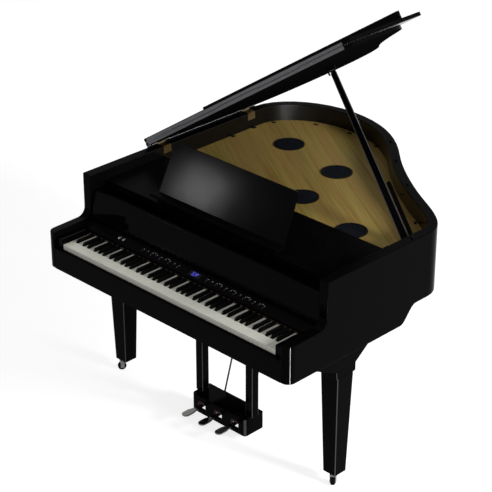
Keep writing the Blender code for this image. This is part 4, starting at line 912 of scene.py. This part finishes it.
# printed marks with a painted glow: a dash above each button and knob, a dot below every second one, bars
# between groups
markLooks = {"pitch": 0.026, "rows": ((-0.300, 9), (0.075, 13)), "knobs": (-0.446, -0.421),
             "sizes": {"dash": (0.0052, 0.0011, 0.00024), "dot": (0.0014, 0.0014, 0.00024),
                       "bar": (0.0150, 0.0007, 0.00024)},
             "edge": 0.00006, "rise": 0.00008, "dashUp": 0.0066, "knobUp": 0.0104, "dotUp": -0.0068,
             "dotAside": -0.003, "barUp": 0.0110}
markPlaces = {"dash": [], "dot": [], "bar": []}


def addMark(kind, x, along):
    # a mark on the panel's slope, counted from the slope's middle line
    middle = spot(x, panelLooks["frontY"] + panelRun / 2, (panelLooks["lowZ"] + panelLooks["highZ"]) / 2)
    up = Vector((0.0, math.cos(panelSlope), math.sin(panelSlope)))
    out = Vector((0.0, -math.sin(panelSlope), math.cos(panelSlope)))
    markPlaces[kind].append(middle + up * along + out * markLooks["rise"])


for start, count in markLooks["rows"]:
    for i in range(count):
        x = start + i * markLooks["pitch"]
        addMark("dash", x, markLooks["dashUp"])
        if i % 2 == 0:
            addMark("dot", x + markLooks["dotAside"], markLooks["dotUp"])
        if i % 3 == 2 and i + 1 < count:
            addMark("bar", x + markLooks["pitch"] / 2, markLooks["barUp"])
for x in markLooks["knobs"]:
    addMark("dash", x, markLooks["knobUp"])
marks = []
for kind, places in markPlaces.items():
    mark = smallPlate(markLooks["sizes"][kind], (panelSlope, 0.0, 0.0), markLooks["edge"])
    marks.append(copyAlong(mark, places, kind + "Marks"))
finishPiece(joinPieces(marks, "panelMarks"), "case", printPaintedGlow)
print("panel done")

# fallboard and music desk

deskLooks = {"fallEdge": 0.0008, "deskEdge": 0.0011, "shelfEdge": 0.0006, "strutEdge": 0.0003}
dressNode("fallboard", "fallboardPanel", fallBlack, deskLooks["fallEdge"])
dressNode("fallboard_leaf", "fallboardLeaf", polishedBlack, deskLooks["fallEdge"])
dressNode("music_desk", "musicDesk", deskBlack, deskLooks["deskEdge"])
dressNode("desk_base", "deskShelf", satinBlack, deskLooks["shelfEdge"])
dressNode("desk_strut", "deskStrut", steel, deskLooks["strutEdge"])
print("fallboard and desk done")

# lid: matt below, and the flap lies turned over on it

lidLooks = {"edge": 0.0016}
lidPiece = dressNode("lid", "lidBoard", lidBlack, lidLooks["edge"])
paintFaces(lidPiece, lidUnderBlack, lambda face: face.normal.dot(acrossLid) < -0.5)
flapPiece = dressNode("lid_flap", "lidFlap", lidBlack, lidLooks["edge"])
paintFaces(flapPiece, lidUnderBlack, lambda face: face.normal.dot(acrossLid) > 0.5)

# the long hinge: grey leaves with black borders and small screws
stripLooks = {"border": 0.0024, "cap": 0.011, "endInset": 0.020, "knuckleDepth": 0.0030, "leafReach": 0.0060,
              "screwPitch": 0.085,
              "screw": {"radius": 0.0018, "height": 0.00012, "edge": 0.00003, "sides": 12,
                        "recess": 0.00006, "direction": (0.0, -1.0, 0.0)}}
stripLeaves = (("flap_hinge_lid_leaf", "longHingeLidLeaf", "lidLeafScrews", -1.0),
               ("flap_hinge_flap_leaf", "longHingeFlapLeaf", "flapLeafScrews", 1.0))

for nodeName, pieceName, _, outward in stripLeaves:
    piece = copyNode(nodeName, pieceName)
    corners = [Vector(vertex.co) for vertex in piece.data.vertices]
    edge = max(outward * corner.dot(acrossLid) for corner in corners) - stripLooks["border"]
    leftEnd = min(corner.dot(alongLid) for corner in corners) + stripLooks["cap"]
    cutAcross(piece, acrossLid * edge * outward, acrossLid)
    cutAcross(piece, alongLid * leftEnd, alongLid)
    evenShade(piece)
    finishPiece(piece, bodyOf[nodeName], stripMetal, (nodeName,))
    paintFaces(piece, satinBlack, lambda face: outward * face.center.dot(acrossLid) > edge
               or face.center.dot(alongLid) < leftEnd)

for nodeName, _, screwName, outward in stripLeaves:
    corners = [Vector(vertex.co) for vertex in nodes[nodeName].data.vertices]
    # the screws' line is the middle of the knuckles, and their seat is the leaf's own face
    knuckleFront = min(corner.y for corner in corners)
    levels = [corner.dot(acrossLid) for corner in corners
              if corner.y - knuckleFront < stripLooks["knuckleDepth"]]
    middleLevel = (min(levels) + max(levels)) / 2
    leafEdge = max(outward * corner.dot(acrossLid) for corner in corners) - stripLooks["leafReach"]
    leafFront = min(corner.y for corner in corners if outward * corner.dot(acrossLid) > leafEdge)
    reaches = [corner.dot(alongLid) for corner in corners]
    span = max(reaches) - min(reaches) - 2 * stripLooks["endInset"]
    count = int(span / stripLooks["screwPitch"])
    places = []
    for i in range(count + 1):
        reach = min(reaches) + stripLooks["endInset"] + span * i / count
        places.append(alongLid * reach + acrossLid * middleLevel + Vector((0.0, leafFront, 0.0)))
    screws = copyAlong(smallDisc(**stripLooks["screw"]), places, screwName)
    finishPiece(screws, bodyOf[nodeName], chrome)

# the two brass hinges, with three screws in each plate
hingeLooks = {"edge": 0.0003, "screws": ((-0.015, 0.010), (0.0, 0.018), (0.015, 0.010)), "seatSink": 0.0001,
              "screw": {"radius": 0.0026, "height": 0.0007, "edge": 0.0002, "sides": 14,
                        "recess": 0.0003, "direction": (1.0, 0.0, 0.0)}}
for side in ("front", "rear"):
    ending = side.capitalize()
    dressNode("lid_hinge_plate_" + side, "lidHingePlate" + ending, brass, hingeLooks["edge"])
    dressNode("lid_hinge_leaf_" + side, "lidHingeLeaf" + ending, brass, hingeLooks["edge"])
    low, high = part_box("lid_hinge_plate_" + side)
    places = [(high.x - hingeLooks["seatSink"], (low.y + high.y) / 2 + aside, low.z + up)
              for aside, up in hingeLooks["screws"]]
    screws = copyAlong(smallDisc(**hingeLooks["screw"]), places, "lidHingeScrews" + ending)
    finishPiece(screws, "case", brass)

# props: the long one has slightly lighter edges, a painted highlight, and a rubber tip
propLooks = {"edge": 0.0016, "across": (-0.593, -0.670, -0.447), "face": (0.191, -0.656, 0.731),
             "along": (-0.782, 0.348, 0.517), "foot": (0.6224, 0.7415, 0.943), "reach": 0.8505,
             "tip": (0.0225, 0.0092, 0.0070), "tipEdge": 0.0010, "flatCosine": 0.93,
             "shortEdge": 0.0008, "cupEdge": 0.0010, "bracketEdge": 0.0005}

longProp = dressNode("long_prop", "longProp", polishedBlack, propLooks["edge"], 1)
flatSides = [Vector(propLooks[side]).normalized() for side in ("across", "face", "along")]
# the bevels between the flat sides carry the painted edge highlight
paintFaces(longProp, paintedEdgeHighlight,
           lambda face: max(abs(face.normal.dot(side)) for side in flatSides) < propLooks["flatCosine"])
tipMiddle = spot(*propLooks["foot"]) + flatSides[2] * (propLooks["reach"] + propLooks["tip"][2] / 2)
propTip = smallPlate(propLooks["tip"], Matrix(flatSides).transposed().to_euler(), propLooks["tipEdge"],
                     tipMiddle)
finishPiece(rename(propTip, "propTip"), bodyOf["long_prop"], rubberBlack)
dressNode("short_prop", "shortProp", polishedBlack, propLooks["shortEdge"])
dressNode("prop_cup", "propCup", satinBlack, propLooks["cupEdge"])
dressNode("prop_bracket", "propBracket", steel, propLooks["bracketEdge"])
print("lid and props done")

# legs, casters and lyre, with slightly lighter edges down their corners as a painted highlight
legLooks = {"edge": 0.0016, "forkEdge": 0.0006, "wheelEdge": 0.0008, "lyreEdge": 0.0024,
            "pedalEdge": 0.0022, "braceEdge": 0.0008}


def cornerHighlightBevel(face):
    # a bevel that runs down a corner, which gets the painted edge highlight
    return abs(face.normal.z) < 0.3 and min(abs(face.normal.x), abs(face.normal.y)) > 0.25


for side in ("left", "right", "rear"):
    ending = side.capitalize()
    leg = dressNode(side + "_leg", side + "Leg", polishedBlack, legLooks["edge"])
    paintFaces(leg, paintedEdgeHighlight, cornerHighlightBevel)
    dressNode("caster_fork_" + side, "casterFork" + ending, darkChrome, legLooks["forkEdge"])
    dressNode("caster_wheel_" + side, "casterWheel" + ending, rubberBlack, legLooks["wheelEdge"])
lyre = dressNode("pedal_lyre", "pedalLyre", polishedBlack, legLooks["lyreEdge"])
paintFaces(lyre, paintedEdgeHighlight, cornerHighlightBevel)
for use in ("soft", "sostenuto", "damper"):
    dressNode(use + "_pedal", use + "Pedal", chrome, legLooks["pedalEdge"], 3)
dressNode("lyre_brace", "lyreBrace", braceBlack, legLooks["braceEdge"])

# felt pads at the front of the pedal box, above the shanks
padLooks = {"x": 0.014, "pitch": 0.0985, "size": (0.034, 0.0022, 0.0105), "edge": 0.0008, "gap": 0.0001,
            "frontY": 0.297, "low": 0.0750}
padY = padLooks["frontY"] - padLooks["size"][1] / 2 - padLooks["gap"]
padZ = padLooks["low"] + padLooks["size"][2] / 2
padPlaces = [spot(padLooks["x"] + step * padLooks["pitch"], padY, padZ) for step in (-1, 0, 1)]
pad = smallPlate(padLooks["size"], (0.0, 0.0, 0.0), padLooks["edge"])
finishPiece(copyAlong(pad, padPlaces, "pedalFeltPads"), "case", redFelt)
print("legs and lyre done")

# room, lamps and camera

roomLooks = {"wallStrength": 0.37, "wallSeen": 1.0, "floorColour": 0.50, "floorLift": 0.76,
             "floorSize": 60.0, "floorDrop": 0.0005}


def paleOnSight(tree, plain, seenValue):
    # one value for the light on the object, another where the eye, metal or glass sees the room
    rays = addNode(tree, "ShaderNodeLightPath")
    seen = mathNode(tree, "ADD", (rays, "Is Camera Ray"), (rays, "Is Glossy Ray"), True)
    seen = mathNode(tree, "ADD", seen, (rays, "Is Transmission Ray"), True)
    return rangeNode(tree, seen, 0.0, 1.0, plain, seenValue)


def makeWorld():
    world = bpy.data.worlds.new("paleRoom")
    bpy.context.scene.world = world
    world.use_nodes = True
    tree = world.node_tree
    background = tree.nodes["Background"]
    background.inputs["Color"].default_value = (1.0, 1.0, 1.0, 1.0)
    feed(tree, paleOnSight(tree, roomLooks["wallStrength"], roomLooks["wallSeen"]), background, "Strength")


def makeFloor():
    deselectAll()
    bpy.ops.mesh.primitive_plane_add(size=roomLooks["floorSize"], location=(0, 0, -roomLooks["floorDrop"]))
    floor = rename(settle(bpy.context.object), "studioFloor")
    material, tree, shader, _ = newMaterial("paleFloor")
    pale = roomLooks["floorColour"]
    shader.inputs["Base Color"].default_value = (pale, pale, pale, 1.0)
    shader.inputs["Roughness"].default_value = 1.0
    shader.inputs["Specular IOR Level"].default_value = 0.0
    shader.inputs["Emission Strength"].default_value = 1.0
    feed(tree, paleOnSight(tree, 0.0, roomLooks["floorLift"]), shader, "Emission Color")
    floor.data.materials.append(material)


def addLamp(name, place, target, width, height, power, glossOnly=False, spread=180.0):
    # the soft boxes light the object, and the small lamps only show as highlights in the lacquer
    light = bpy.data.lights.new(name, "AREA")
    light.shape = "RECTANGLE"
    light.size = width
    light.size_y = height
    light.energy = power
    light.spread = math.radians(spread)
    lamp = bpy.data.objects.new(name, light)
    bpy.context.scene.collection.objects.link(lamp)
    lamp.location = place
    lamp.rotation_euler = (Vector(target) - Vector(place)).to_track_quat("-Z", "Y").to_euler()
    lamp.visible_camera = False
    lamp.visible_diffuse = not glossOnly
    lamp.visible_glossy = glossOnly


makeWorld()
makeFloor()
addLamp("keySoftbox", (2.0, -3.4, 2.6), (0.0, -0.4, 0.8), 1.3, 1.3, 22.0)
addLamp("overheadSoftbox", (0.9, -1.2, 3.6), (0.1, -0.1, 0.8), 2.2, 2.2, 5.0)
addLamp("sideSoftbox", (6.4, 0.9, 3.1), (-0.2, 0.2, 0.9), 1.6, 1.2, 570.0)
# lamps that only show as highlights: on the desk, down the arm's corner and in the tail of the rim
addLamp("deskGlow", (-1.90, -2.365, 1.564), (-0.13, -0.395, 1.039), 0.24, 0.24, 0.56, True, 40.0)
addLamp("cornerStrip", (1.32, -1.01, 0.28), (0.69, -0.74, 0.70), 0.04, 0.36, 2.2, True, 32.0)
addLamp("tailGlow", (0.43, -0.15, 1.10), (-0.61, 0.629, 0.95), 0.04, 0.15, 1.6, True, 30.0)

viewLooks = {"lens": 126.6, "sensor": 36.0, "farEnd": 60.0, "place": (4.434, -3.995, 4.007),
             "down": 27.042, "turn": 44.75}
view = bpy.data.cameras.new("photoView")
view.lens = viewLooks["lens"]
view.sensor_width = viewLooks["sensor"]
view.clip_end = viewLooks["farEnd"]
viewer = bpy.data.objects.new("photoView", view)
bpy.context.scene.collection.objects.link(viewer)
viewer.location = spot(*viewLooks["place"])
viewer.rotation_euler = Euler((math.radians(90 - viewLooks["down"]), 0.0, math.radians(viewLooks["turn"])))
bpy.context.scene.camera = viewer
bpy.context.scene.view_settings.view_transform = "Standard"
print("room done")
